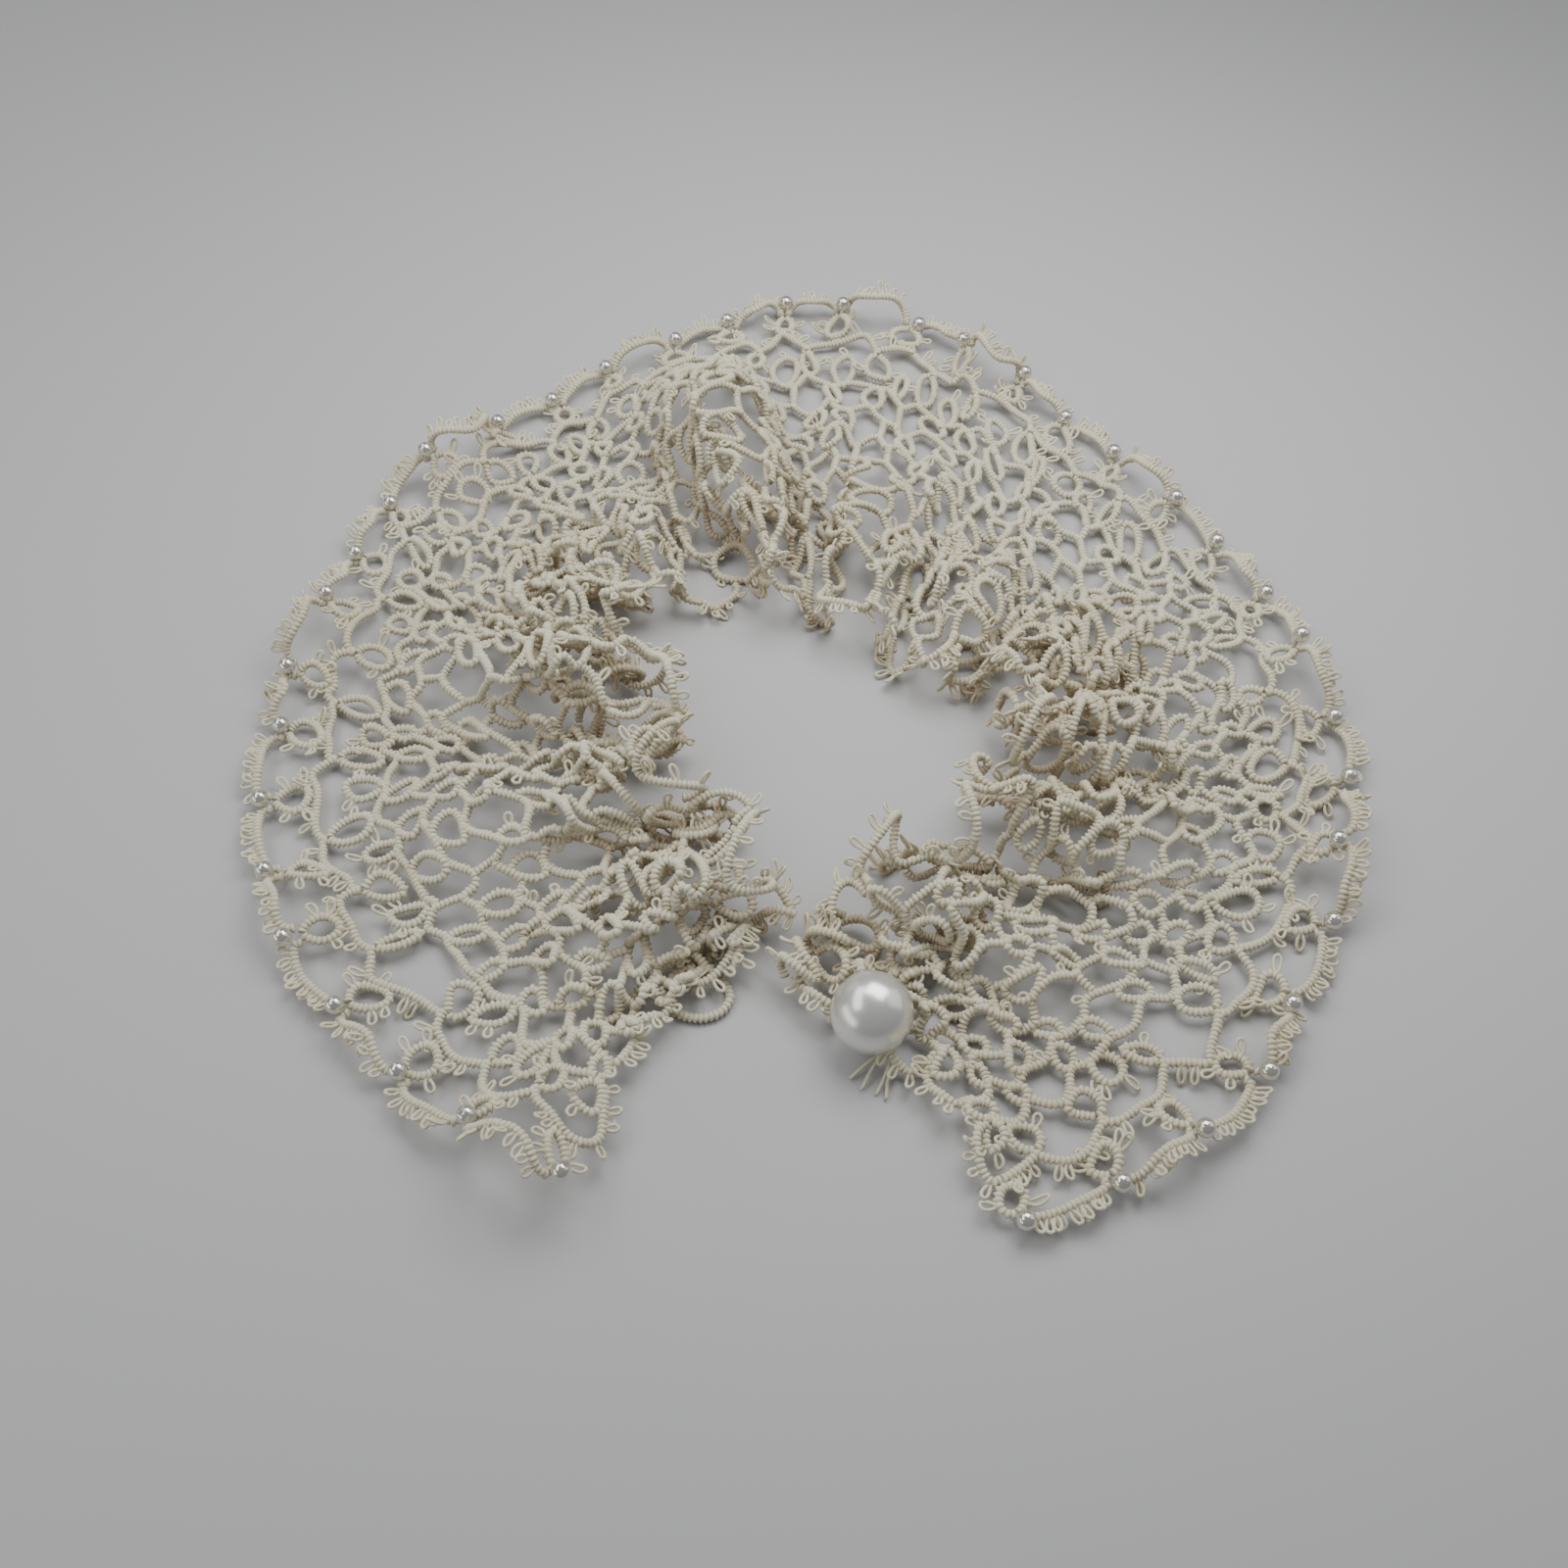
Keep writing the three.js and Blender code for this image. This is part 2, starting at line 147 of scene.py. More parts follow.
LIFTS = [
    # at half height reach
    (0.4, 1.3, 9, 0.40), (4.4, 0.9, 3, 0.30), (8.6, 1.0, 7, 0.35), (12.3, 1.0, 8, 0.35),
    (15.4, 0.8, 3, 0.25), (19.5, 0.8, 5, 0.28), (21.3, 0.8, 6, 0.28), (24.6, 0.8, 4, 0.28),
    (28.2, 0.9, 5, 0.30), (31.0, 0.8, 7, 0.28), (35.2, 0.8, 3, 0.25),
]
SWELLS = [
    # height perRepeat perDepth phase
    (2.2, 1.15, 0.060, 0.4),
    (1.6, 0.52, -0.095, 2.1),
]


# %% Surface functions
def curve_through(points, place):
    """A smooth curve through a row of points. place 0 is the first of them, 1 the second."""
    rows = np.vstack([2 * points[0] - points[1], points, 2 * points[-1] - points[-2]])
    i = np.clip(np.floor(place).astype(int), 0, len(points) - 2)
    x = (place - i)[..., None]
    a, b, c, d = rows[i], rows[i + 1], rows[i + 2], rows[i + 3]
    return b + 0.5 * x * (c - a + x * (2 * a - 5 * b + 4 * c - d + x * (3 * (b - c) + d - a)))


def plan_curve(columns, share):
    """Some columns of the plan at a share of the collar's length."""
    return curve_through(PLAN[:, columns], share * (len(PLAN) - 1))


def smooth(start, end, value):
    """0 before start, 1 past end, and a soft step between them."""
    x = np.clip((value - start) / (end - start), 0, 1)
    return x * x * (3 - 2 * x)


def bump(x):
    """A soft bump, 1 at x = 0 and 0 from -1 and 1 outwards."""
    return np.where(np.abs(x) < 1, (1 + np.cos(np.pi * x)) / 2, 0)


def unit(vectors):
    return vectors / np.linalg.norm(vectors, axis=-1, keepdims=True)


def flat_point(u, t):
    """A place in the plan. t is 0 at the outer joints and 1 at the neck line."""
    share = u / REPEATS
    outer, neck, bow = (plan_curve(columns, share) for columns in (OUTER, NECK, BOW))
    inside = np.clip(t, 0, 1)[..., None]
    return outer + (neck - outer) * t[..., None] + bow * 4 * inside * (1 - inside)


def surface_point(u, v):
    """The middle of the lace's thickness at u and v, in mm in the model's frame."""
    t = v / NECK_LINE
    ground = flat_point(u, t)
    along = (flat_point(u + 0.1, t) - flat_point(u - 0.1, t)) / 0.2
    outward = unit(flat_point(u, t - 0.05) - flat_point(u, t + 0.05))
    height = np.zeros_like(t)
    for at, half, fold_height, start, full, lean, sweep_by in FOLDS:
        x = (u - at - sweep_by * (1 - t)) / half
        growth = smooth(start, full, t)
        height += fold_height * growth * bump(x)
        ground += outward * (lean * growth * bump(x))[..., None]
        push = np.where(np.abs(x) < 1, np.sin(2 * np.pi * x), 0) * STEEPNESS * half * growth
        ground += along * push[..., None]
    for at, half, lift_height, reach in LIFTS:
        height += lift_height * smooth(reach, -0.1, t) * bump((u - at) / half)
    swell = sum(h * np.sin(a * u + b * v + c) for h, a, b, c in SWELLS)
    height += np.maximum(swell, 0) * bump(2 * t - 1)
    flat = ground + plan_shift
    return np.stack([flat[..., 0], flat[..., 1], LACE_THICKNESS / 2 + height], axis=-1)


def surface_frame(u, v):
    """Along the band for one repeat, inwards for one mm, and the way up out of the lace."""
    du, dv = 0.02, 0.2
    along = (surface_point(u + du, v) - surface_point(u - du, v)) / (2 * du)
    inward = (surface_point(u, v + dv) - surface_point(u, v - dv)) / (2 * dv)
    return along, inward, unit(np.cross(inward, along))


test_u = np.linspace(0, REPEATS, 400)
for test_v in (0, 18.5, 33.3, 48, NECK_LINE):
    pitch = np.linalg.norm(surface_frame(test_u, np.full(400, float(test_v)))[0], axis=1)
    print(f"depth {test_v}: a repeat is {pitch.min():.1f} to {pitch.max():.1f} mm,",
          f"{pitch.mean() * REPEATS:.0f} mm in all")

# %% [markdown]
# ## The unevenness of handwork
#
# No two rings of handmade lace are alike. The cells wander a little. Towards the neck the
# lace has less room than it was worked for, so it lies in small pleats that lean over.
# Wander, crumple and pleats are sums of slow waves, so neighbouring threads move together
# and stay joined. A pleat is one wave that moves the lace along and up at once, which tips
# it over.
#
# Every scallop of the two edges is curled its own way, up off the table or over the lace.
# The curls are drawn from a random generator with a fixed seed, so the collar is the same
# each time. On one stretch the neck scallops are folded right over, and at the back they
# lie flat and out into the opening.

# %% Curls of the scallops
rng = np.random.default_rng(19)
OUTER_CURLS = (0.0, 0.5)      # least and most, in radians, as are all curls
CURLED_UP = 0.22      # share of the outer scallops that stand up
CURL_UP = 0.9         # and how much further they are curled
CURL_OF_LIFT = 0.13   # for each mm that the edge is lifted
NECK_CURLS = (-0.5, 0.9)
ROLLED_IN = 0.35      # share of the neck scallops that are rolled back over the lace
ROLL_IN = 1.7
FOLDED_OVER, FOLDED_CURLS = slice(3, 8), (1.9, 2.6)
LYING_OUT, FLAT_CURLS = slice(14, 24), (-0.4, 0.6)

outer_curls = rng.uniform(*OUTER_CURLS, REPEATS + 1)
outer_curls += CURL_UP * (rng.random(REPEATS + 1) < CURLED_UP)
for at, _, lift_height, _ in LIFTS:
    outer_curls[int(at)] += CURL_OF_LIFT * lift_height
neck_curls = rng.uniform(*NECK_CURLS, REPEATS + 2)
neck_curls += ROLL_IN * (rng.random(REPEATS + 2) < ROLLED_IN)
neck_curls[FOLDED_OVER] = rng.uniform(*FOLDED_CURLS, FOLDED_OVER.stop - FOLDED_OVER.start)
neck_curls[LYING_OUT] = rng.uniform(*FLAT_CURLS, LYING_OUT.stop - LYING_OUT.start)
print("outer curls, radians:", outer_curls.min().round(2), "to", outer_curls.max().round(2))

# %% Wander, crumple, pleats and draws
# Each wave has its size, its turning for one repeat and for one mm of depth, and its phase.
WANDER_ALONG = [(0.08, 1.9, 0.11, 0.5), (0.06, 4.3, -0.17, 2.0), (0.03, 8.1, 0.3, 1.0)]
WANDER_IN = [(0.9, 2.7, 0.07, 1.0), (0.75, 5.9, -0.21, 0.0), (0.45, 9.7, 0.4, 3.0)]
CRUMPLE = [(0.5, 4.4, 0.43, 0.3), (0.35, -3.1, 0.61, 1.9), (0.3, 7.3, -0.25, 4.0)]
PLEATS = [(0.09, 5.3, 0.05, 0.6), (0.05, 9.1, -0.12, 2.0)]

# A pair of depths says where something starts and where it is full.
OUTER_STRIP, NECK_STRIP = (0, 9), (NECK_LINE + 4, NECK_LINE - 6)
CRUMPLED, PLEATED = (10, 50), (22, 46)
DRAWN_OUT, DRAWN_DOWN = (38, NECK_LINE), (44, NECK_LINE + 4)

EDGE_WANDER_ALONG = 0.4   # share of the wander that is left at the two edges
EDGE_WANDER_IN = 0.3
CRUMPLE_LIFT = 0.35   # how far the crumple's waves are raised before their hollows are cut
CRUMPLE_OUTER = 0.25  # how deep the crumple is near the outer edge
CRUMPLE_MORE = 1.7    # and how much deeper at the neck
PLEAT_RISE = 13.0     # mm up for each repeat that a pleat moves the lace along
PLEAT_LIFT = 0.06     # repeats that a pleat is raised by before it rises
PLEAT_HOLLOW = -0.04  # and the lowest that its hollows go
EDGE_DRAW = 2.2       # mm that the outer joints are drawn in, except at the two ends
EDGE_DRAW_DEPTH = 12  # mm in from the joints where nothing is drawn in any more
END_REPEATS = 5       # repeats over which the draw dies out towards an end
CURL_LINE = 0.8       # the depth from which an outer scallop curls
LOWEST = 0.85         # mm over the table for the middle of a cord that lies on it
NECK_DRAWS = [
    # at half further down: mm that the neck edge lies further into the opening, and lower
    (4.8, 3.2, -4.5, 0.0),
    (16.2, 3.6, 5.0, 6.0),
    (22.8, 2.2, 3.0, 2.0),
]


def waves(u, v, table):
    return sum(size * np.sin(a * u + b * v + c) for size, a, b, c in table)


def curled(past, curl):
    """How far a scallop's thread comes back, and how far up, that is past its curl's line."""
    return past * (1 - np.cos(curl)), past * np.sin(curl)


def lace_point(u, v, h=0.0):
    """A place on the worked lace: wandered, crumpled, curled, and h mm over the middle."""
    u, v, h = (np.array(x, dtype=float) for x in np.broadcast_arrays(u, v, h))
    inner = smooth(*OUTER_STRIP, v) * smooth(*NECK_STRIP, v)
    u_worked = u + waves(u, v, WANDER_ALONG) * (EDGE_WANDER_ALONG + (1 - EDGE_WANDER_ALONG) * inner)
    v_worked = v + waves(u, v, WANDER_IN) * (EDGE_WANDER_IN + (1 - EDGE_WANDER_IN) * inner)
    depth = CRUMPLE_OUTER + CRUMPLE_MORE * smooth(*CRUMPLED, v)
    h = h + depth * np.maximum(waves(u, v, CRUMPLE) + CRUMPLE_LIFT, 0)
    away_from_ends = smooth(0, END_REPEATS, u) * smooth(REPEATS, REPEATS - END_REPEATS, u)
    v_worked += EDGE_DRAW * smooth(EDGE_DRAW_DEPTH, 0, v) * away_from_ends
    for at, half, further, down in NECK_DRAWS:
        v_worked += further * bump((u - at) / half) * smooth(*DRAWN_OUT, v)
        h = h - down * bump((u - at) / half) * smooth(*DRAWN_DOWN, v)
    pleat = waves(u, v, PLEATS) * smooth(*PLEATED, v)
    u_worked -= pleat
    h = h + PLEAT_RISE * np.maximum(pleat + PLEAT_LIFT, PLEAT_HOLLOW)
    outer_curl = outer_curls[np.clip(np.floor(u).astype(int), 0, REPEATS)] * np.sin(np.pi * u) ** 2
    back, rise = curled(np.clip(CURL_LINE - v, 0, None), outer_curl)
    v_worked += back
    h += rise
    neck_curl = neck_curls[np.clip(np.round(u).astype(int), 0, REPEATS + 1)] * np.cos(np.pi * u) ** 2
    back, rise = curled(np.clip(v - NECK_LINE, 0, None), neck_curl)
    v_worked -= back
    h += rise
    up = surface_frame(u_worked, v_worked)[2]
    place = surface_point(u_worked, v_worked) + up * h[..., None]
    place[..., 2] = np.maximum(place[..., 2], LOWEST)
    return place, up


# %% [markdown]
# ## Double stitches
#
# A tatted cord is a core thread with double stitches strung on it side by side. Each one
# shows as a small knob, fatter on the outer side of a curve than on the inner side. The
# cord is swept along its path as a tube with two rings of corners for each stitch: one
# in the valley and one on the knob. Many thousands of stitches are needed, so each tube is
# made as arrays of corners and faces, and a skein collects all tubes of a piece into one
# mesh. Building it from curve objects would give the same tube but no lopsided knobs.

# %% Skeins and tubes
STITCH = 0.76         # mm of cord for one double stitch
CORE = 0.56           # radius in the valley between two stitches
KNOB = 0.40           # how far a knob stands out
KNOB_SPREAD = 0.22    # how unlike the knobs are
KNOB_INNER = 0.4      # a knob's height on the inner side of a curve, with 1 on the outer side
CORD_SIDES = 8
SLANT = 0.10          # a knob leans along the cord
FLATNESS = 0.92       # height of the cord for its width
TABLE_GAP = 0.02      # between the table and the lowest corner


class Skein:
    """The corners and faces of all the tubes of one piece."""

    def __init__(self):
        self.corners, self.quads, self.caps, self.along = [], [], [], []
        self.count = 0
        self.length = 0.0

    def tube(self, points, ups, reach, slant=0.0, stitches=0):
        """A closed tube. reach is its radius at each station and side."""
        stations, sides = reach.shape
        tangents = unit(np.gradient(points, axis=0))
        across = unit(np.cross(tangents, ups))
        lift = np.cross(across, tangents)
        angles = 2 * np.pi * np.arange(sides) / sides
        ring = (points[:, None] + tangents[:, None] * (slant * np.sin(angles))[:, None]
                + across[:, None] * (reach * np.cos(angles))[..., None]
                + lift[:, None] * (reach * np.sin(angles) * FLATNESS)[..., None])
        i, j = np.meshgrid(np.arange(stations - 1), np.arange(sides), indexing="ij")
        k = (j + 1) % sides
        corner = [i * sides + j, (i + 1) * sides + j, (i + 1) * sides + k, i * sides + k]
        self.quads.append(np.stack(corner, axis=-1).reshape(-1, 4) + self.count)
        first = np.arange(sides) + self.count
        self.caps += [first.tolist(), (first + (stations - 1) * sides)[::-1].tolist()]
        self.along.append(np.repeat(np.linspace(0, stitches, stations) if stitches
                                    else np.full(stations, 0.5), sides))
        self.corners.append(ring.reshape(-1, 3))
        self.count += stations * sides
        self.length += np.linalg.norm(np.diff(points, axis=0), axis=1).sum()

    def mesh(self, name):
        corners = np.concatenate(self.corners)
        corners[:, 2] = np.maximum(corners[:, 2], TABLE_GAP)
        mesh = bpy.data.meshes.new(name)
        mesh.from_pydata((corners * MM).tolist(), [], np.concatenate(self.quads).tolist() + self.caps)
        mesh.shade_smooth()
        along = mesh.attributes.new("along", "FLOAT", "POINT")
        along.data.foreach_set("value", np.concatenate(self.along).astype(np.float32))
        # painted shade: how much thread lies over each corner, for the tan shade of the material
        cover_shade = mesh.attributes.new("painted_cover_shade", "FLOAT", "POINT")
        cover_shade.data.foreach_set("value", painted_cover_shade(np.concatenate(self.corners)).astype(np.float32))
        return mesh


def spaced(points, ups, stations):
    """The same path with evenly spaced stations."""
    run = np.concatenate([[0], np.cumsum(np.linalg.norm(np.diff(points, axis=0), axis=1))])
    wanted = np.linspace(0, run[-1], stations)
    even = np.stack([np.interp(wanted, run, points[:, n]) for n in range(3)], axis=-1)
    way_up = np.stack([np.interp(wanted, run, ups[:, n]) for n in range(3)], axis=-1)
    return even, unit(way_up)


def knotted_cord(skein, points, ups, outer_side):
    """Double stitches along a path. outer_side is 1 or -1, the side with the fat knobs."""
    length = np.linalg.norm(np.diff(points, axis=0), axis=1).sum()
    stitches = max(2, round(length / STITCH))
    path, way_up = spaced(points, ups, 2 * stitches + 1)
    number = np.arange(2 * stitches + 1)
    uneven = 1 + KNOB_SPREAD * rng.standard_normal(stitches + 1)
    knob = KNOB * (number % 2) * uneven[number // 2]
    angles = 2 * np.pi * np.arange(CORD_SIDES) / CORD_SIDES
    mean, swing = (1 + KNOB_INNER) / 2, (1 - KNOB_INNER) / 2
    reach = CORE + knob[:, None] * (mean + swing * outer_side * np.cos(angles))
    skein.tube(path, way_up, reach, SLANT * outer_side, stitches)
    return path, way_up


# %% [markdown]
# ## Picots
#
# A picot is a loop of bare thread between two stitches. It leaves the cord and comes back
# to almost the same place, so it is narrow at its root and round at its tip. Some stand
# up and some lie down. Each is a thin tube of five sides.

# %% Picots
PICOT_THREAD = 0.28   # radius
PICOT_SIDES = 5
PICOT_STATIONS = 13
PICOT_NECK = 0.4      # its width near the root, as a share of its width half way up
PICOT_FLARE = 0.75    # and how much wider it gets towards its tip
PICOT_ROOT = 0.3      # mm from the middle of the cord to the root
PICOT_TURN = 0.25     # radians that it leans along the cord
PICOT_SWAY = 0.25     # how far its tip is off its line, for its width
PICOT_RISES = (0.12, 0.35)      # its tip's mean height for its length, and the spread
PICOT_LENGTHS = (0.8, 1.2)      # the least and the most of the length that its kind has


def picot(skein, root, outward, tangent, up, length, width):
    """One loop of thread that leaves the cord at root."""
    turn = rng.normal(0, PICOT_TURN)
    outward, tangent = (outward * math.cos(turn) + tangent * math.sin(turn),
                        tangent * math.cos(turn) - outward * math.sin(turn))
    rise = rng.normal(*PICOT_RISES)
    s = np.linspace(0, 1, PICOT_STATIONS)
    y = length * (1 - np.cos(2 * np.pi * s)) / 2
    x = -width / 2 * np.sin(2 * np.pi * s) * (PICOT_NECK + PICOT_FLARE * y / length)
    x += rng.normal(0, PICOT_SWAY) * width * (y / length) ** 2
    z = rise * y * y / length
    path = root + outward * y[:, None] + tangent * x[:, None] + up * z[:, None]
    path[:, 2] = np.maximum(path[:, 2], PICOT_THREAD)
    reach = np.full((PICOT_STATIONS, PICOT_SIDES), PICOT_THREAD)
    skein.tube(path, np.tile(up, (PICOT_STATIONS, 1)), reach)


def picots_along(skein, path, ups, side, shares, length, width):
    """Picots at these shares of a cord's length, on its side 1 or -1."""
    for share in shares:
        i = int(round(share * (len(path) - 1)))
        i = min(max(i, 1), len(path) - 2)
        tangent = unit(path[i + 1] - path[i - 1])
        outward = side * unit(np.cross(tangent, ups[i]))
        long = length * rng.uniform(*PICOT_LENGTHS)
        picot(skein, path[i] + outward * PICOT_ROOT, outward, tangent, ups[i], long, width)


# %% [markdown]
# ## Rings, arcs and waves
#
# The whole collar is made of three moves. A ring starts and ends at the same joint. An arc
# goes from joint to joint and bulges to one side. A wave is a long row of small arcs that
# the next row of rings hangs from. All are drawn in u and v, and then laid on the surface.

# %% The three moves
PATH_STEPS = 40
RING_GAP = 0.12       # radians of a ring left open on each side of its joint
RING_WIDEST = 0.3     # half a ring's greatest width, in repeats
RING_WIDTHS = (0.85, 1.15)      # the least and the most of the width that its kind has
RING_TAPER = 0.3      # how much narrower it is towards its joint than an ellipse
RING_LEAN = 0.035     # repeats that its far side stands to the left or right
LOOSE_DEPTHS = (20, 50)         # rings are firm at the first depth and loose at the second
TIP_FIRM, TIP_LOOSE = 0.35, 0.5         # mm that its sides are tipped, and more where loose
RISE_FIRM, RISE_LOOSE = 0.1, 0.3        # mm that its far side rises
SPREAD_FIRM, SPREAD_LOOSE = 0.3, 0.4    # and how unlike that is
RING_PICOT = 1.45     # width of the picots on a ring
ARC_PICOT = 1.25      # and on an arc
ARC_PICOT_ENDS = (0.15, 0.85)   # shares of an edge arc's length with its first and last picot
END_BULGE = 0.40      # how far an arc stands off the end of the lace, in repeats
SCALLOP_FOOT = 0.80   # how much of a repeat a scallop stands on; the bead has the rest
ROUNDNESS = 0.26      # how much wider a scallop is at its shoulders than an ellipse
FAN_WANDER = 0.012    # share of a scallop's length that a picot of its fan is off its place


def half_turn(start=0.0, end=1.0):
    """Steps of a half circle: how far it has come along, and how far it stands out."""
    theta = np.pi * np.linspace(start, end, PATH_STEPS)
    return (1 - np.cos(theta)) / 2, np.sin(theta)


def ring(skein, u, start, end, half_width, picot_shares, picot_length, sunk=0.0):
    """A ring from its joint at depth start to its far side at depth end, sunk mm too low."""
    along = surface_frame(np.array([u]), np.array([(start + end) / 2]))[0]
    repeat_length = np.linalg.norm(along[0])
    half = min(half_width * rng.uniform(*RING_WIDTHS) / repeat_length, RING_WIDEST)
    lean = rng.normal(0, RING_LEAN)
    loose = float(smooth(*LOOSE_DEPTHS, (start + end) / 2))
    theta = np.linspace(RING_GAP, 2 * np.pi - RING_GAP, PATH_STEPS)
    share = (1 - np.cos(theta)) / 2
    path_u = u + half * np.sin(theta) * np.sin(theta / 2) ** RING_TAPER + lean * share
    path_v = start + (end - start) * share
    tip = rng.normal(0, TIP_FIRM + TIP_LOOSE * loose) * np.sin(theta)
    tip += rng.normal(RISE_FIRM + RISE_LOOSE * loose, SPREAD_FIRM + SPREAD_LOOSE * loose) * share
    points, ups = lace_point(path_u, path_v, tip - sunk)
    side = -1 if end > start else 1
    path, way_up = knotted_cord(skein, points, ups, side)
    picots_along(skein, path, way_up, side, picot_shares, picot_length, RING_PICOT)


def arc(skein, path_u, path_v, side, picot_shares=(), picot_length=3.0):
    """A cord along any u and v, with its picots and fat knobs on one side."""
    points, ups = lace_point(path_u, path_v)
    path, way_up = knotted_cord(skein, points, ups, side)
    picots_along(skein, path, way_up, side, picot_shares, picot_length, ARC_PICOT)


def scallop(skein, middle, line, height, side, picot_count, picot_length):
    """An arc one repeat wide that bulges out of the edge by height."""
    share, bulge = half_turn()
    path_u = middle + (share - 0.5) * SCALLOP_FOOT * (1 + ROUNDNESS * bulge)
    path_u = np.clip(path_u, -END_BULGE, REPEATS + END_BULGE)
    path_v = line + height * bulge
    shares = np.linspace(*ARC_PICOT_ENDS, picot_count) + rng.normal(0, FAN_WANDER, picot_count)
    arc(skein, path_u, path_v, side, shares, picot_length)


# %% [markdown]
# ## Three bands of lace
#
# The collar is worked in three bands, and the solid model has each of them in five
# stretches. Each stretch becomes one piece here, so that a piece stands for the solid
# it was built from. A stretch covers some repeats, from first to last.
#
# Each kind of ring has the depth of its joint, the depth of its far side and half its
# width, in mm. Picots sit at some shares of a cord's length, and handwork leaves a few out.

# %% Stretches and depths
STRETCHES = [
    ("left_front", 0, 6),
    ("left_shoulder", 7, 14),
    ("back", 15, 21),
    ("right_shoulder", 22, 29),
    ("right_front", 30, 37),
]
OUTER_BULGE = -2.5    # depth that a scallop reaches past the line it stands on
NECK_BULGE = 5.4
NET_DEPTHS = [18.5, 24.4, 30.3, 36.2, 42.1, 48.0]
NET_CELLS = 56        # cells from one end to the other
WAVE = 0.95           # half height of a wave

JOINT_RING = (0.7, 6.2, 2.5)      # inside each outer joint, up to the next row
COVERED_RING = (11.4, 17.0, 2.1)  # between two round arcs
ARC_RING = (18.3, 12.7, 2.0)      # inside each round arc
FOOT_RING = (49.2, 52.0, 1.4)     # under each neck joint
INNER_RING = (48.8, 53.4, 1.6)    # under each neck arc
NECK_RING = (61.6, 56.0, 1.9)     # over it, with its joint at the neck edge

JOINT_PICOTS = (0.2, 0.34, 0.66, 0.8)
ARC_PICOTS = (0.24, 0.36, 0.64, 0.76)
NECK_PICOTS = (0.28, 0.4, 0.6, 0.72)
TIP_PICOTS = (0.3, 0.5, 0.7)
ARC_RING_PICOTS = (0.33, 0.5, 0.67)
INNER_PICOTS = (0.35, 0.5, 0.65)
SIDE_PICOTS = (0.3, 0.7)

JOINT_WANDER = 0.02   # repeats that a joint is off its place
LOOSE_WANDER = 0.03   # and the joint of a ring inside an arc or in the net
PICOT_WANDER = 0.02   # share of a cord's length that a picot is off its place
SCALLOP_HEIGHTS = (0.85, 1.1)   # the least and the most of a scallop's full height

line_u = np.linspace(-1, REPEATS + 1, 781)
line_steps = [np.linalg.norm(surface_frame(line_u, np.full(len(line_u), v))[0], axis=-1)
              for v in NET_DEPTHS]
line_cells = np.cumsum(np.mean(line_steps, axis=0))
line_cells -= np.interp(0, line_u, line_cells)
line_cells *= NET_CELLS / np.interp(REPEATS, line_u, line_cells)


def cell_at(u):
    """How many cells of the net lie before u. The cells are even in length, not in u."""
    return np.interp(u, line_u, line_cells)


def u_of_cell(cell):
    return float(np.interp(cell, line_cells, line_u))


def random_shares(chance, positions):
    """Some of these shares of a cord's length, each picked with this chance."""
    return [p + rng.normal(0, PICOT_WANDER) for p in positions if rng.random() < chance]


def near(u, wander=JOINT_WANDER):
    return u + rng.normal(0, wander)


# %% [markdown]
# ### Outer edging
#
# Big scallops, each with a fan of picots, meet at a joint with a ring. The ring reaches in
# to the next arc, and has picots of its own.

# %% Outer edging
OUTER_FAN = (9, 12)       # a fan has at least 9 picots, and fewer than 12


def outer_edging(first, last):
    skein = Skein()
    for k in range(first, last + 1):
        shares = random_shares(0.85, JOINT_PICOTS)
        ring(skein, near(k), *JOINT_RING, shares, 2.5)
        if k < REPEATS:
            bulge = OUTER_BULGE * rng.uniform(*SCALLOP_HEIGHTS)
            scallop(skein, k + 0.5, 0.0, bulge, -1, int(rng.integers(*OUTER_FAN)), 2.2)
    return skein


# %% [markdown]
# ### Ground
#
# Under the edging runs a row of round arcs with rings between them, and inside each arc
# stands a ring with picots. Then come five rows of small rings between waves, which make
# the net. Here and there a plain bar takes a ring's place, or a picot stands in a cell.

# %% Ground
ROUND_ARC_LINE = 11.0     # depth that the round arcs stand on
ROUND_ARC_BULGE = 3.4     # and how far they reach out from it
NET_RING_WIDTH = 1.95     # half the width of a ring of the net
NET_GAP = 0.1             # mm from a wave to a ring's end
BAR_REACH = 0.5           # mm that a bar reaches further, into the wave
WAVE_OVERLAP = 0.02       # repeats that a wave reaches into the next stretch
ARC_RINGED = 0.9          # share of the round arcs that have a ring inside
RINGED = 0.88             # share of the net's places that have a ring, and not a bar
NET_PICOTS = 0.07         # chance of a picot on a ring, for each row in from the first
WAVE_PICOTS = 0.12        # and at a place on a wave
CELL_PICOT_STEP = 0.35    # repeats between two places on a wave where a picot may stand


def net_wave(row, path_u):
    """Depth of the wave between two rows of the net. Neighbouring waves are opposed."""
    sign = 1 if row % 2 == 0 else -1
    return NET_DEPTHS[row] + sign * WAVE * np.cos(2 * np.pi * cell_at(path_u))


def net_row(skein, row, low_u, high_u):
    """The small rings between two waves, where the waves are closest together."""
    offset = 0.0 if row % 2 == 0 else 0.5
    first_cell = math.ceil(cell_at(low_u) - offset - 1e-6)
    last_cell = math.ceil(cell_at(high_u) - offset - 1e-6)
    if high_u == REPEATS:
        last_cell = math.floor(NET_CELLS - offset + 1e-6) + 1
    for cell in range(first_cell, last_cell):
        u = u_of_cell(cell + offset)
        start = float(net_wave(row, u)) + NET_GAP
        end = float(net_wave(row + 1, u)) - NET_GAP
        u = near(u, LOOSE_WANDER)
        if rng.random() < RINGED:
            shares = random_shares(NET_PICOTS * row, TIP_PICOTS)
            ring(skein, u, start, end, NET_RING_WIDTH, shares, 1.8)
        else:
            bar = np.linspace(start - BAR_REACH, end + BAR_REACH, PATH_STEPS)
            arc(skein, np.full(PATH_STEPS, u), bar, 1)


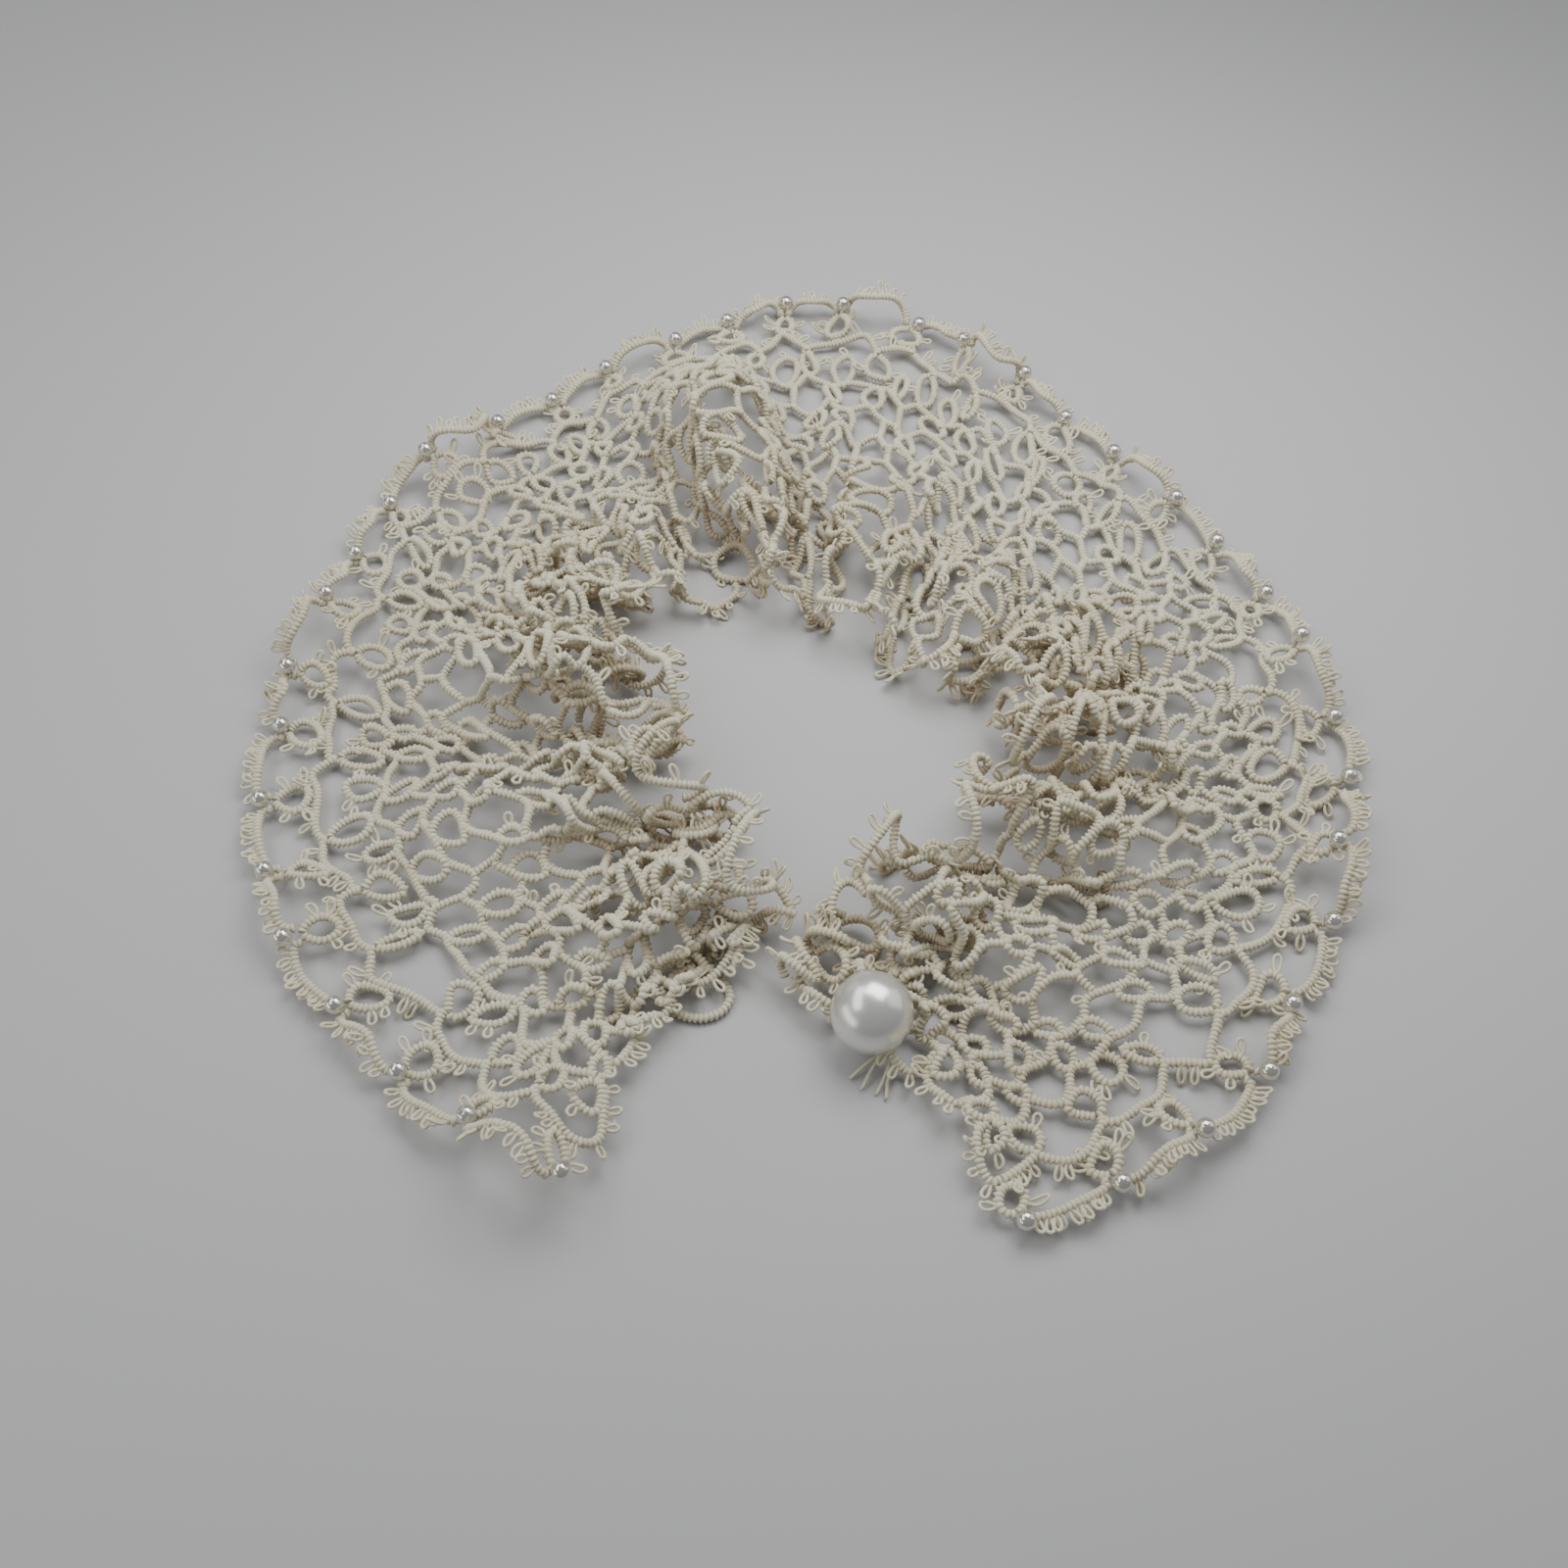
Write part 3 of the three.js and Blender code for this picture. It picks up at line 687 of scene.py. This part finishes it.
def ground(first, last):
    skein = Skein()
    low_u, high_u = float(first), float(min(last + 1, REPEATS))
    for k in range(first, last + 1):
        share, bulge = half_turn(0.5 if k == 0 else 0, 0.5 if k == REPEATS else 1)
        arc(skein, k - 0.5 + share, ROUND_ARC_LINE - ROUND_ARC_BULGE * bulge, -1,
            random_shares(0.75, ARC_PICOTS), 2.5)
        if k < REPEATS:
            ring(skein, near(k + 0.5), *COVERED_RING, random_shares(0.5, SIDE_PICOTS), 2.0)
        if rng.random() < ARC_RINGED:
            u = near(k, LOOSE_WANDER)
            ring(skein, u, *ARC_RING, random_shares(0.8, ARC_RING_PICOTS), 2.5)
    for row in range(len(NET_DEPTHS) - 1):
        net_row(skein, row, low_u, high_u)
    cells = np.arange(0.2, high_u - low_u, CELL_PICOT_STEP) / (high_u - low_u)
    for row in range(len(NET_DEPTHS)):
        steps = int((high_u - low_u) * PATH_STEPS)
        path_u = np.linspace(low_u - WAVE_OVERLAP, high_u + WAVE_OVERLAP, steps)
        arc(skein, path_u, net_wave(row, path_u), 1, random_shares(WAVE_PICOTS, cells), 1.8)
    return skein


# %% [markdown]
# ### Neck edging
#
# The neck edge is worked like the outer one: a row of arcs, rings, and scallops. It has one
# scallop more, and a shorter line for them to stand on, so they crowd into ruffles.
# Under each fold some rings of the edging are tucked in, out of line with the others.

# %% Neck edging
NECK_ARC_LINE = 52.2      # depth that the neck arcs stand on
NECK_ARC_BULGE = 3.3
TUCKS = 0.35              # rings tucked under a fold for each mm of its height
TUCK_LENGTH = 4.5
TUCK_WIDTH = 2.1          # half width
TUCK_SPREAD = 0.7         # how far it is off the fold's middle, for the fold's half width
TUCK_DEPTHS = (36, 58)
TUCK_SUNK = (0.2, 0.65)   # how far down it lies, for the fold's height
NECK_FAN = (6, 9)         # a fan has at least 6 picots, and fewer than 9


def tucked_rings(skein, first, last):
    """Rings under the folds of this stretch, lower than the lace over them."""
    for at, half, fold_height, start, full, *_ in FOLDS:
        if first <= at < last + 1:
            for _ in range(round(TUCKS * fold_height)):
                u = at + rng.uniform(-TUCK_SPREAD, TUCK_SPREAD) * half
                v = rng.uniform(*TUCK_DEPTHS)
                far_side = v + rng.choice((-TUCK_LENGTH, TUCK_LENGTH))
                shares = random_shares(0.8, TIP_PICOTS)
                growth = float(smooth(start, full, v / NECK_LINE))
                ring(skein, u, v, far_side, TUCK_WIDTH, shares, 2.4,
                     rng.uniform(*TUCK_SUNK) * fold_height * growth)


def neck_edging(first, last):
    skein = Skein()
    tucked_rings(skein, first, last)
    for k in range(first, last + 1):
        ring(skein, near(k), *FOOT_RING, random_shares(0.2, SIDE_PICOTS), 1.6)
        if k < REPEATS:
            share, bulge = half_turn()
            arc(skein, k + share, NECK_ARC_LINE + NECK_ARC_BULGE * bulge, 1,
                random_shares(0.5, NECK_PICOTS), 2.0)
            ring(skein, near(k + 0.5), *NECK_RING, random_shares(0.8, ARC_PICOTS), 2.1)
            u = near(k + 0.5, LOOSE_WANDER)
            ring(skein, u, *INNER_RING, random_shares(0.6, INNER_PICOTS), 1.9)
        bulge = NECK_BULGE * rng.uniform(*SCALLOP_HEIGHTS)
        scallop(skein, float(k), NECK_LINE, bulge, 1, int(rng.integers(*NECK_FAN)), 2.6)
    return skein


# %% [markdown]
# ### End edgings
#
# The two front ends are finished with arcs of their own, from wave to wave down the end.
# They belong to the first and the last stretch of each band.

# %% End edgings
END_PICOT_STEP = 2.1      # mm from one picot to the next
END_ARCS = [
    # band, from, to: an arc down the end of the lace
    ("ground", 7.7, NET_DEPTHS[0]),
    ("ground", NET_DEPTHS[1], NET_DEPTHS[3]),
    ("ground", NET_DEPTHS[3], NET_DEPTHS[5]),
    ("neck_edging", NECK_ARC_LINE, NECK_LINE),
]


def end_arcs(skein, band, at, way):
    """The arcs at the end u = at. They bulge the way -1 or 1 along the band."""
    share, bulge = half_turn()
    for arc_band, start, end in END_ARCS:
        if arc_band == band:
            path_u = at + way * END_BULGE * bulge
            count = max(3, round((end - start) / END_PICOT_STEP))
            shares = np.linspace(*ARC_PICOT_ENDS, count)
            arc(skein, path_u, start + (end - start) * share, -way, shares, 2.4)


BANDS = {"outer_edging": outer_edging, "ground": ground, "neck_edging": neck_edging}
skeins = {}
for stretch, first, last in STRETCHES:
    for band, work in BANDS.items():
        skein = work(first, last)
        if first == 0:
            end_arcs(skein, band, 0.0, -1)
        if last == REPEATS:
            end_arcs(skein, band, float(REPEATS), 1)
        skeins[f"{band}_{stretch}"] = skein
worked = sum(skein.length for skein in skeins.values())
print(f"{len(skeins)} pieces of lace, {worked / 1000:.1f} m of thread and cord")

# %% [markdown]
# ## Painted shade where the lace is covered
#
# Where other layers of thread lie over the lace, its colour is darkened towards tan as
# painted shade. So each place on the thread is told how much thread lies above it. The room
# over the table is divided into small cubes, the corners of all tubes are counted in them,
# and the counts are added up from the top. The result is kept as a point attribute of each
# mesh, the amount of painted shade.

# %% Painted shade under covering thread
CUBE = 2.0            # mm
COVERED = 88          # percent of the corners have less above them than full cover
every_corner = np.concatenate([np.concatenate(skein.corners) for skein in skeins.values()])
room_low = every_corner.min(axis=0) - 3 * CUBE
room_shape = np.ceil((every_corner.max(axis=0) + 3 * CUBE - room_low) / CUBE).astype(int)
cubes = tuple(((every_corner - room_low) / CUBE).astype(int).T)
room = np.zeros(room_shape)
np.add.at(room, cubes, 1)
for axis in (0, 1):
    room = (np.roll(room, 1, axis) + room + np.roll(room, -1, axis)) / 3
above = np.cumsum(room[:, :, ::-1], axis=2)[:, :, ::-1] - room
FULL_COVER = np.percentile(above[cubes], COVERED)
print("corners above a place, half of them over:", np.percentile(above[cubes], 50).round(1),
      "full cover:", FULL_COVER.round(1))


# painted shade: the amount of tan shade for each corner, from the thread above it
def painted_cover_shade(corners):
    """How much thread lies above each corner, from 0 to 1."""
    return np.clip(above[tuple(((corners - room_low) / CUBE).astype(int).T)] / FULL_COVER, 0, 1)


# %% [markdown]
# ## Thread
#
# The thread is off-white mercerised cotton, matt with a slight sheen. It has yellowed a
# little, and unevenly. Where other thread covers it, its colour is darkened to tan as painted
# shade. Three finer things are added to the colour and the surface: painted shade in the
# grooves between the stitches, the round back of each stitch, and a grain like spun
# cotton. The first two follow the attribute `along`, which counts the stitches of a cord.

# %% Thread material
IVORY = (0.775, 0.733, 0.55, 1)
CREAM = (0.70, 0.63, 0.442, 1)
# painted shade: tan where other thread lies over the lace
COVER_SHADE_TAN = (0.60, 0.505, 0.345, 1)
# painted shade: the darker colour in the grooves between stitches
GROOVE_SHADE = (0.55, 0.495, 0.37, 1)


def new_material(name, values):
    """A material with these values on the sockets of its shader."""
    material = bpy.data.materials.new(name)
    material.use_nodes = True
    shader = material.node_tree.nodes["Principled BSDF"]
    for socket, value in values.items():
        shader.inputs[socket].default_value = value
    return material, shader


thread, thread_shader = new_material("cotton_thread", {
    "Roughness": 0.58,
    "Sheen Weight": 0.25,
    "Sheen Roughness": 0.5,
    "Specular IOR Level": 0.5,
})
links = thread.node_tree.links


def add_node(kind, values, **settings):
    """A node of the thread's material. A value is a constant or another node's output."""
    node = thread.node_tree.nodes.new("ShaderNode" + kind)
    for setting, value in settings.items():
        setattr(node, setting, value)
    for socket, value in values.items():
        if isinstance(value, bpy.types.NodeSocket):
            links.new(value, node.inputs[socket])
        else:
            node.inputs[socket].default_value = value
    return node


# %% Colour: patches of two tones, painted tan shade where thread covers it, painted shade in the grooves between stitches
place = add_node("TexCoord", {}).outputs["Object"]
patches = add_node("TexNoise", {"Vector": place, "Scale": 32, "Detail": 3}).outputs["Fac"]
tone = add_node("MapRange", {"Value": patches, "From Min": 0.42, "From Max": 0.72})
colour = add_node(
    "Mix", {"Factor": tone.outputs["Result"], "A": IVORY, "B": CREAM}, data_type="RGBA")
# painted shade: the colour goes to tan where other thread lies over this place
cover_shade = add_node("Attribute", {}, attribute_name="painted_cover_shade").outputs["Fac"]
cover_shaded = add_node("Mix", {"Factor": cover_shade, "A": colour.outputs["Result"], "B": COVER_SHADE_TAN}, data_type="RGBA")

run = add_node("Attribute", {}, attribute_name="along").outputs["Fac"]
between = add_node("Math", {0: run, 1: 0.5}, operation="PINGPONG").outputs["Value"]
# painted shade: the colour is darkened in the grooves between the stitches
groove_shade = add_node("MapRange", {   # between is 0 in a groove and 0.5 on a knob
    "Value": between, "From Min": 0.0, "From Max": 0.22, "To Min": 0.5, "To Max": 0.0})
groove_shaded = add_node("Mix", {
    "Factor": groove_shade.outputs["Result"], "A": cover_shaded.outputs["Result"], "B": GROOVE_SHADE}, data_type="RGBA")
links.new(groove_shaded.outputs["Result"], thread_shader.inputs["Base Color"])

# %% Relief: the round back of each stitch, and the grain of the cotton
half_wave = add_node("Math", {0: between, 1: math.pi}, operation="MULTIPLY").outputs["Value"]
knobs = add_node("Math", {0: half_wave}, operation="SINE").outputs["Value"]
grain = add_node("TexNoise", {"Vector": place, "Scale": 4200, "Detail": 2}).outputs["Fac"]
relief = add_node("Math", {0: knobs, 1: 1.6, 2: grain}, operation="MULTIPLY_ADD").outputs["Value"]
bumps = add_node("Bump", {"Height": relief, "Strength": 0.8, "Distance": 0.00018})
links.new(bumps.outputs["Normal"], thread_shader.inputs["Normal"])
print("nodes in the thread's material:", len(thread.node_tree.nodes))

# %% [markdown]
# ## From skeins to pieces
#
# Each skein becomes one mesh object. It rides on the collar's only body and stands for its
# solid. The size that it would have laid out flat is printed with it.

# %% Lace pieces
SCALLOP_FILL = 0.88   # mean depth of a scallop for its full depth
GROUND_LINE = 7.5     # depth at which the ground starts
BAND_DEPTHS = {
    "outer_edging": (SCALLOP_FILL * OUTER_BULGE, GROUND_LINE),
    "ground": (GROUND_LINE, NET_DEPTHS[-1]),
    "neck_edging": (NET_DEPTHS[-1], NECK_LINE + SCALLOP_FILL * NECK_BULGE),
}


def flat_size(band, first, last):
    """Width, length and area in metres of a stretch with its folds and pleats drawn out."""
    low_v, high_v = BAND_DEPTHS[band]
    end = min(last + 1, REPEATS)
    columns, rows = 20 * (end - first), 16
    u, v = np.meshgrid(np.linspace(first, end, columns), np.linspace(low_v, high_v, rows))
    place, _ = lace_point(u, v)
    along, inward = np.diff(place, axis=1), np.diff(place, axis=0)
    area = np.linalg.norm(np.cross(along[:-1], inward[:, :-1]), axis=-1).sum()
    length = np.linalg.norm(along, axis=-1).sum(axis=1).max()
    width = np.linalg.norm(inward, axis=-1).sum(axis=0).max()
    return width * MM, length * MM, area * MM * MM


def add_piece(mesh, material, replaced=()):
    piece = bpy.data.objects.new(mesh.name, mesh)
    bpy.context.scene.collection.objects.link(piece)
    mesh.materials.append(material)
    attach(piece, "root")
    if replaced:
        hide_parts(*replaced)
    return piece


triangles = 0
for stretch, first, last in STRETCHES:
    for band in BANDS:
        node = f"{band}_{stretch}"
        piece = add_piece(skeins[node].mesh(f"lace_{node}"), thread, [node])
        width, length, area = flat_size(band, first, last)
        faces = len(piece.data.polygons)
        triangles += 2 * faces
        skin = np.zeros(faces)
        piece.data.polygons.foreach_get("area", skin)
        print(f"{piece.name}: {faces} faces, flat {width / MM:.0f} by {length / MM:.0f} mm,",
              f"thread surface {skin.sum() / 2 / area:.2f} of the flat area")
print("triangles in all:", triangles)

# %% [markdown]
# ## Seed pearls
#
# One small pearl bead sits at each joint of the outer edging. A bead is a ball with a
# thread hole, so a sphere is added, the faces at its two poles are pushed in, and the
# result is copied to every joint.

# %% Seed pearls
BEAD = 3.0            # diameter
BEAD_HOLE = 0.35      # radius
BEAD_DIMPLE = 0.7     # height that is left of the poles
BEAD_HANG = (-2.2, 0.2)   # depth at which a bead hangs, past the joint or just inside it
BEAD_WANDER = 0.05    # repeats that it is off its joint
BEAD_OVER = 1.6       # mm over the middle of the lace
BEAD_GAP = 0.05       # between a bead and the table


def select_nothing():
    for obj in bpy.context.selected_objects:
        obj.select_set(False)


select_nothing()
bpy.ops.mesh.primitive_uv_sphere_add(segments=20, ring_count=13, radius=BEAD / 2 * MM)
bead = bpy.context.object
bead_corners = np.array([corner.co for corner in bead.data.vertices])
near_axis = np.hypot(bead_corners[:, 0], bead_corners[:, 1]) < BEAD_HOLE * MM
bead_corners[near_axis, 2] *= BEAD_DIMPLE
bead_faces = [list(face.vertices) for face in bead.data.polygons]
bpy.data.objects.remove(bead)

all_corners, all_faces = [], []
for k in range(REPEATS + 1):
    hang = rng.uniform(*BEAD_HANG)
    at, _ = lace_point(near(k, BEAD_WANDER), hang, BEAD_OVER)
    at[2] = max(at[2], BEAD / 2 + BEAD_GAP)
    turn = np.array(Euler(rng.uniform(0, 3, 3)).to_matrix())
    start = sum(len(c) for c in all_corners)
    all_corners.append(bead_corners @ turn.T + at * MM)
    all_faces += [[start + n for n in face] for face in bead_faces]
beads_mesh = bpy.data.meshes.new("seed_pearls")
beads_mesh.from_pydata(np.concatenate(all_corners).tolist(), [], all_faces)
beads_mesh.shade_smooth()

pearl, _ = new_material("seed_pearl", {
    "Base Color": (0.71, 0.68, 0.61, 1),
    "Metallic": 0.80,
    "Roughness": 0.12,
    "Coat Weight": 0.8,
    "Coat Roughness": 0.05,
})
add_piece(beads_mesh, pearl)
print("seed pearls:", REPEATS + 1)

# %% [markdown]
# ## Pearl button
#
# The button is half a pearl ball on a shank. Its profile is turned from a circle of
# corners: the circle is extruded up and scaled in, ring by ring, like work on a lathe.

# %% Pearl button
BUTTON_DIAMETER = 12.4
BUTTON_HEIGHT = 6.6
BUTTON_RIM = 1.0      # from its underside to where the dome starts
BUTTON_TILT = 0.45    # radians towards the front
BUTTON_TURN = -0.15   # and to the side
BUTTON_SEAT = (37.0, 48.2)      # u and v of the lace under it
SHANK_LENGTH = 3.2
SHANK_RADIUS = 1.9
SEAM_GAP = 0.32       # between the lace and the shank's foot

DOME_STEPS = 12
POINT = 0.001         # radius of a ring that is closed to a point

radius = BUTTON_DIAMETER / 2
profile = [
    # radius and height of a ring, from the foot of the shank to the rim
    (POINT, SHANK_LENGTH - 2.4),
    (1.2, SHANK_LENGTH - 2.3),
    (1.6, SHANK_LENGTH - 1.2),
    (SHANK_RADIUS, SHANK_LENGTH - 0.2),
    (radius * 0.80, SHANK_LENGTH),
    (radius * 0.95, SHANK_LENGTH + 0.25),
]
for step in range(DOME_STEPS + 1):
    angle = math.pi / 2 * step / DOME_STEPS
    r = max(radius * math.cos(angle), POINT)
    profile.append((r, SHANK_LENGTH + BUTTON_RIM + (BUTTON_HEIGHT - BUTTON_RIM) * math.sin(angle)))

select_nothing()
first_radius, first_height = profile[0]
bpy.ops.mesh.primitive_circle_add(
    vertices=48, radius=first_radius * MM, fill_type="NGON", location=(0, 0, first_height * MM))
button = bpy.context.object
bpy.ops.object.mode_set(mode="EDIT")
for (r0, z0), (r1, z1) in zip(profile, profile[1:]):
    bpy.ops.mesh.extrude_region_move(TRANSFORM_OT_translate={"value": (0, 0, (z1 - z0) * MM)})
    bpy.ops.transform.resize(value=(r1 / r0, r1 / r0, 1), center_override=(0, 0, z1 * MM))
bpy.ops.mesh.select_all(action="SELECT")
bpy.ops.mesh.normals_make_consistent(inside=False)
bpy.ops.object.mode_set(mode="OBJECT")
bpy.ops.object.shade_smooth_by_angle(angle=math.radians(50))
seat = surface_point(np.array(BUTTON_SEAT[0]), np.array(BUTTON_SEAT[1]))
foot_drop = SHANK_RADIUS * math.sin(math.hypot(BUTTON_TILT, BUTTON_TURN))
seat[2] += LACE_THICKNESS / 2 + SEAM_GAP + foot_drop
button.data.transform(Matrix.Translation((0, 0, first_height * MM)))
stance = Matrix.Rotation(BUTTON_TILT, 4, "X") @ Matrix.Rotation(BUTTON_TURN, 4, "Y")
button.data.transform(Matrix.Translation(Vector(seat) * MM) @ stance)
button.location = (0, 0, 0)
button.name = "button"
button.data.name = "button"

# %% Button material
button_pearl, _ = new_material("button_pearl", {
    "Base Color": (0.79, 0.78, 0.745, 1),
    "Metallic": 0.65,
    "Roughness": 0.27,
    "Coat Weight": 0.6,
    "Coat Roughness": 0.08,
})
button.data.materials.append(button_pearl)
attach(button, "root")
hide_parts("pearl_button")
print("button at, mm:", seat.round(1))

# %% [markdown]
# ## Button loop and thread ends
#
# The loop is a cord of double stitches like the rest of the lace, with its smooth side
# inside, where the button goes through. It leaves the neck corner, turns round, and comes
# back lower down, and two threads close its upper side. The knot under the button has
# left a few ends of thread.

# %% Button loop
LOOP_CORD = 1.6
LOOP_STEPS = 12       # stations from one point of its way to the next
LEG_THREAD = 0.28     # radius
LEFT_FOOT = -10       # stations of the loop that the two closing threads join
RIGHT_FOOT = 14
LEG_SHIFTS = (-0.5, 0.6)        # mm, so that the two lie side by side
LEG_RISE = 0.3
LEG_BOW = (0, -0.8, 0.6)        # mm that their middle is off the straight line
LOOP_WAY = np.array([   # mm from the loop's middle: down its right side and up its left
    [-3.0, 9.4, 2.2], [-0.9, 7.6, 0.6], [1.4, 5.6, 0.0], [2.7, 3.0, 0.0], [1.6, 0.5, 0.0],
    [-1.3, -0.7, 0.0], [-4.6, -0.2, 0.0], [-6.7, 1.7, 0.2], [-7.8, 4.2, 0.9],
])


def smooth_way(points, steps=8):
    """Stations on a smooth curve through a few points, so many steps from one to the next."""
    return curve_through(points, np.linspace(0, len(points) - 1, steps * (len(points) - 1) + 1))


loop_points = smooth_way(LOOP_WAY + (*loop_middle[:2], LOOP_CORD / 2), LOOP_STEPS)
loop_skein = Skein()
knotted_cord(loop_skein, loop_points, np.tile([0.0, 0.0, 1.0], (len(loop_points), 1)), -1)


def loose_thread(skein, points, radius):
    """A plain thread along a smooth curve through a few points in mm."""
    path = smooth_way(np.array(points, dtype=float))
    reach = np.full((len(path), PICOT_SIDES), radius)
    skein.tube(path, np.tile([0.0, 0.1, 1.0], (len(path), 1)), reach)


left_foot = loop_points[LEFT_FOOT]
for shift in LEG_SHIFTS:
    right_foot = loop_points[RIGHT_FOOT] + (shift, shift, LEG_RISE)
    halfway = (left_foot + right_foot) / 2 + LEG_BOW
    loose_thread(loop_skein, [left_foot, halfway, right_foot], LEG_THREAD)
add_piece(loop_skein.mesh("loop"), thread, ["button_loop"])

# %% Thread ends
TAIL_START = (2.6, -5.2)      # mm from the button's seat
TAIL_ENDS = [(-3.8, -9.2), (-2.2, -11.0), (0.0, -11.8), (1.4, -12.6)]
TAIL_HEIGHTS = (2.6, 0.4)     # of the start and of the ends, over the table
TAIL_WANDER, TAIL_RISE = 0.5, 0.2   # of its middle, off the straight line

tails = Skein()
tail_start = np.array([seat[0] + TAIL_START[0], seat[1] + TAIL_START[1], TAIL_HEIGHTS[0]])
for reach_x, reach_y in TAIL_ENDS:
    end = np.array([seat[0] + reach_x, seat[1] + reach_y, TAIL_HEIGHTS[1]])
    wander = (rng.normal(0, TAIL_WANDER), rng.normal(0, TAIL_WANDER), TAIL_RISE)
    halfway = (tail_start + end) / 2 + wander
    loose_thread(tails, [tail_start, halfway, end], LEG_THREAD)
add_piece(tails.mesh("thread_ends"), thread)

# %% [markdown]
# ## Table and light
#
# The table is a plain pale surface. A soft light hangs low over the collar, so that the
# table is darker away from it. A window at the left, in three parts, gives the bright
# reflections in the pearls. A pale wall at the right and the room itself give the rest.

# %% Table
select_nothing()
bpy.ops.mesh.primitive_plane_add(size=3, location=(0, 0, 0))
floor = bpy.context.object
floor.name = "floor"
paint, _ = new_material("table_paint", {"Base Color": (0.482, 0.482, 0.483, 1), "Roughness": 0.6})
floor.data.materials.append(paint)

# %% Lights
LIGHTS = [
    # name, place in m, width, height, power in W
    ("ceiling", (0.046, 0.072, 0.232), 0.215, 0.175, 0.62),
    ("window_side", (-0.26, 0.06, 0.36), 0.52, 0.17, 0.70),
    ("window_bottom", (-0.42, -0.20, 0.13), 0.44, 0.16, 0.36),
    ("window_top", (-0.36, 0.42, 0.16), 0.26, 0.16, 0.08),
    ("far_wall", (0.46, 0.12, 0.32), 0.45, 0.45, 0.50),
]
for name, place_of, width, height, power in LIGHTS:
    data = bpy.data.lights.new(name, "AREA")
    data.shape = "RECTANGLE"
    data.size, data.size_y = width, height
    data.energy = power
    light = bpy.data.objects.new(name, data)
    bpy.context.scene.collection.objects.link(light)
    light.location = place_of
    light.rotation_euler = (-Vector(place_of)).to_track_quat("-Z", "Y").to_euler()

world = bpy.data.worlds.new("room")
bpy.context.scene.world = world
world.use_nodes = True
background = world.node_tree.nodes["Background"]
background.inputs["Color"].default_value = (0.93, 0.95, 1.0, 1)
background.inputs["Strength"].default_value = 0.235
print("lights:", [name for name, *_ in LIGHTS])

# %% [markdown]
# ## Sizes
#
# The dressed collar has to stay the size of the solid model, give or take the picots and
# curls that stand off it.

# %% Finish
print("dressed collar finished")
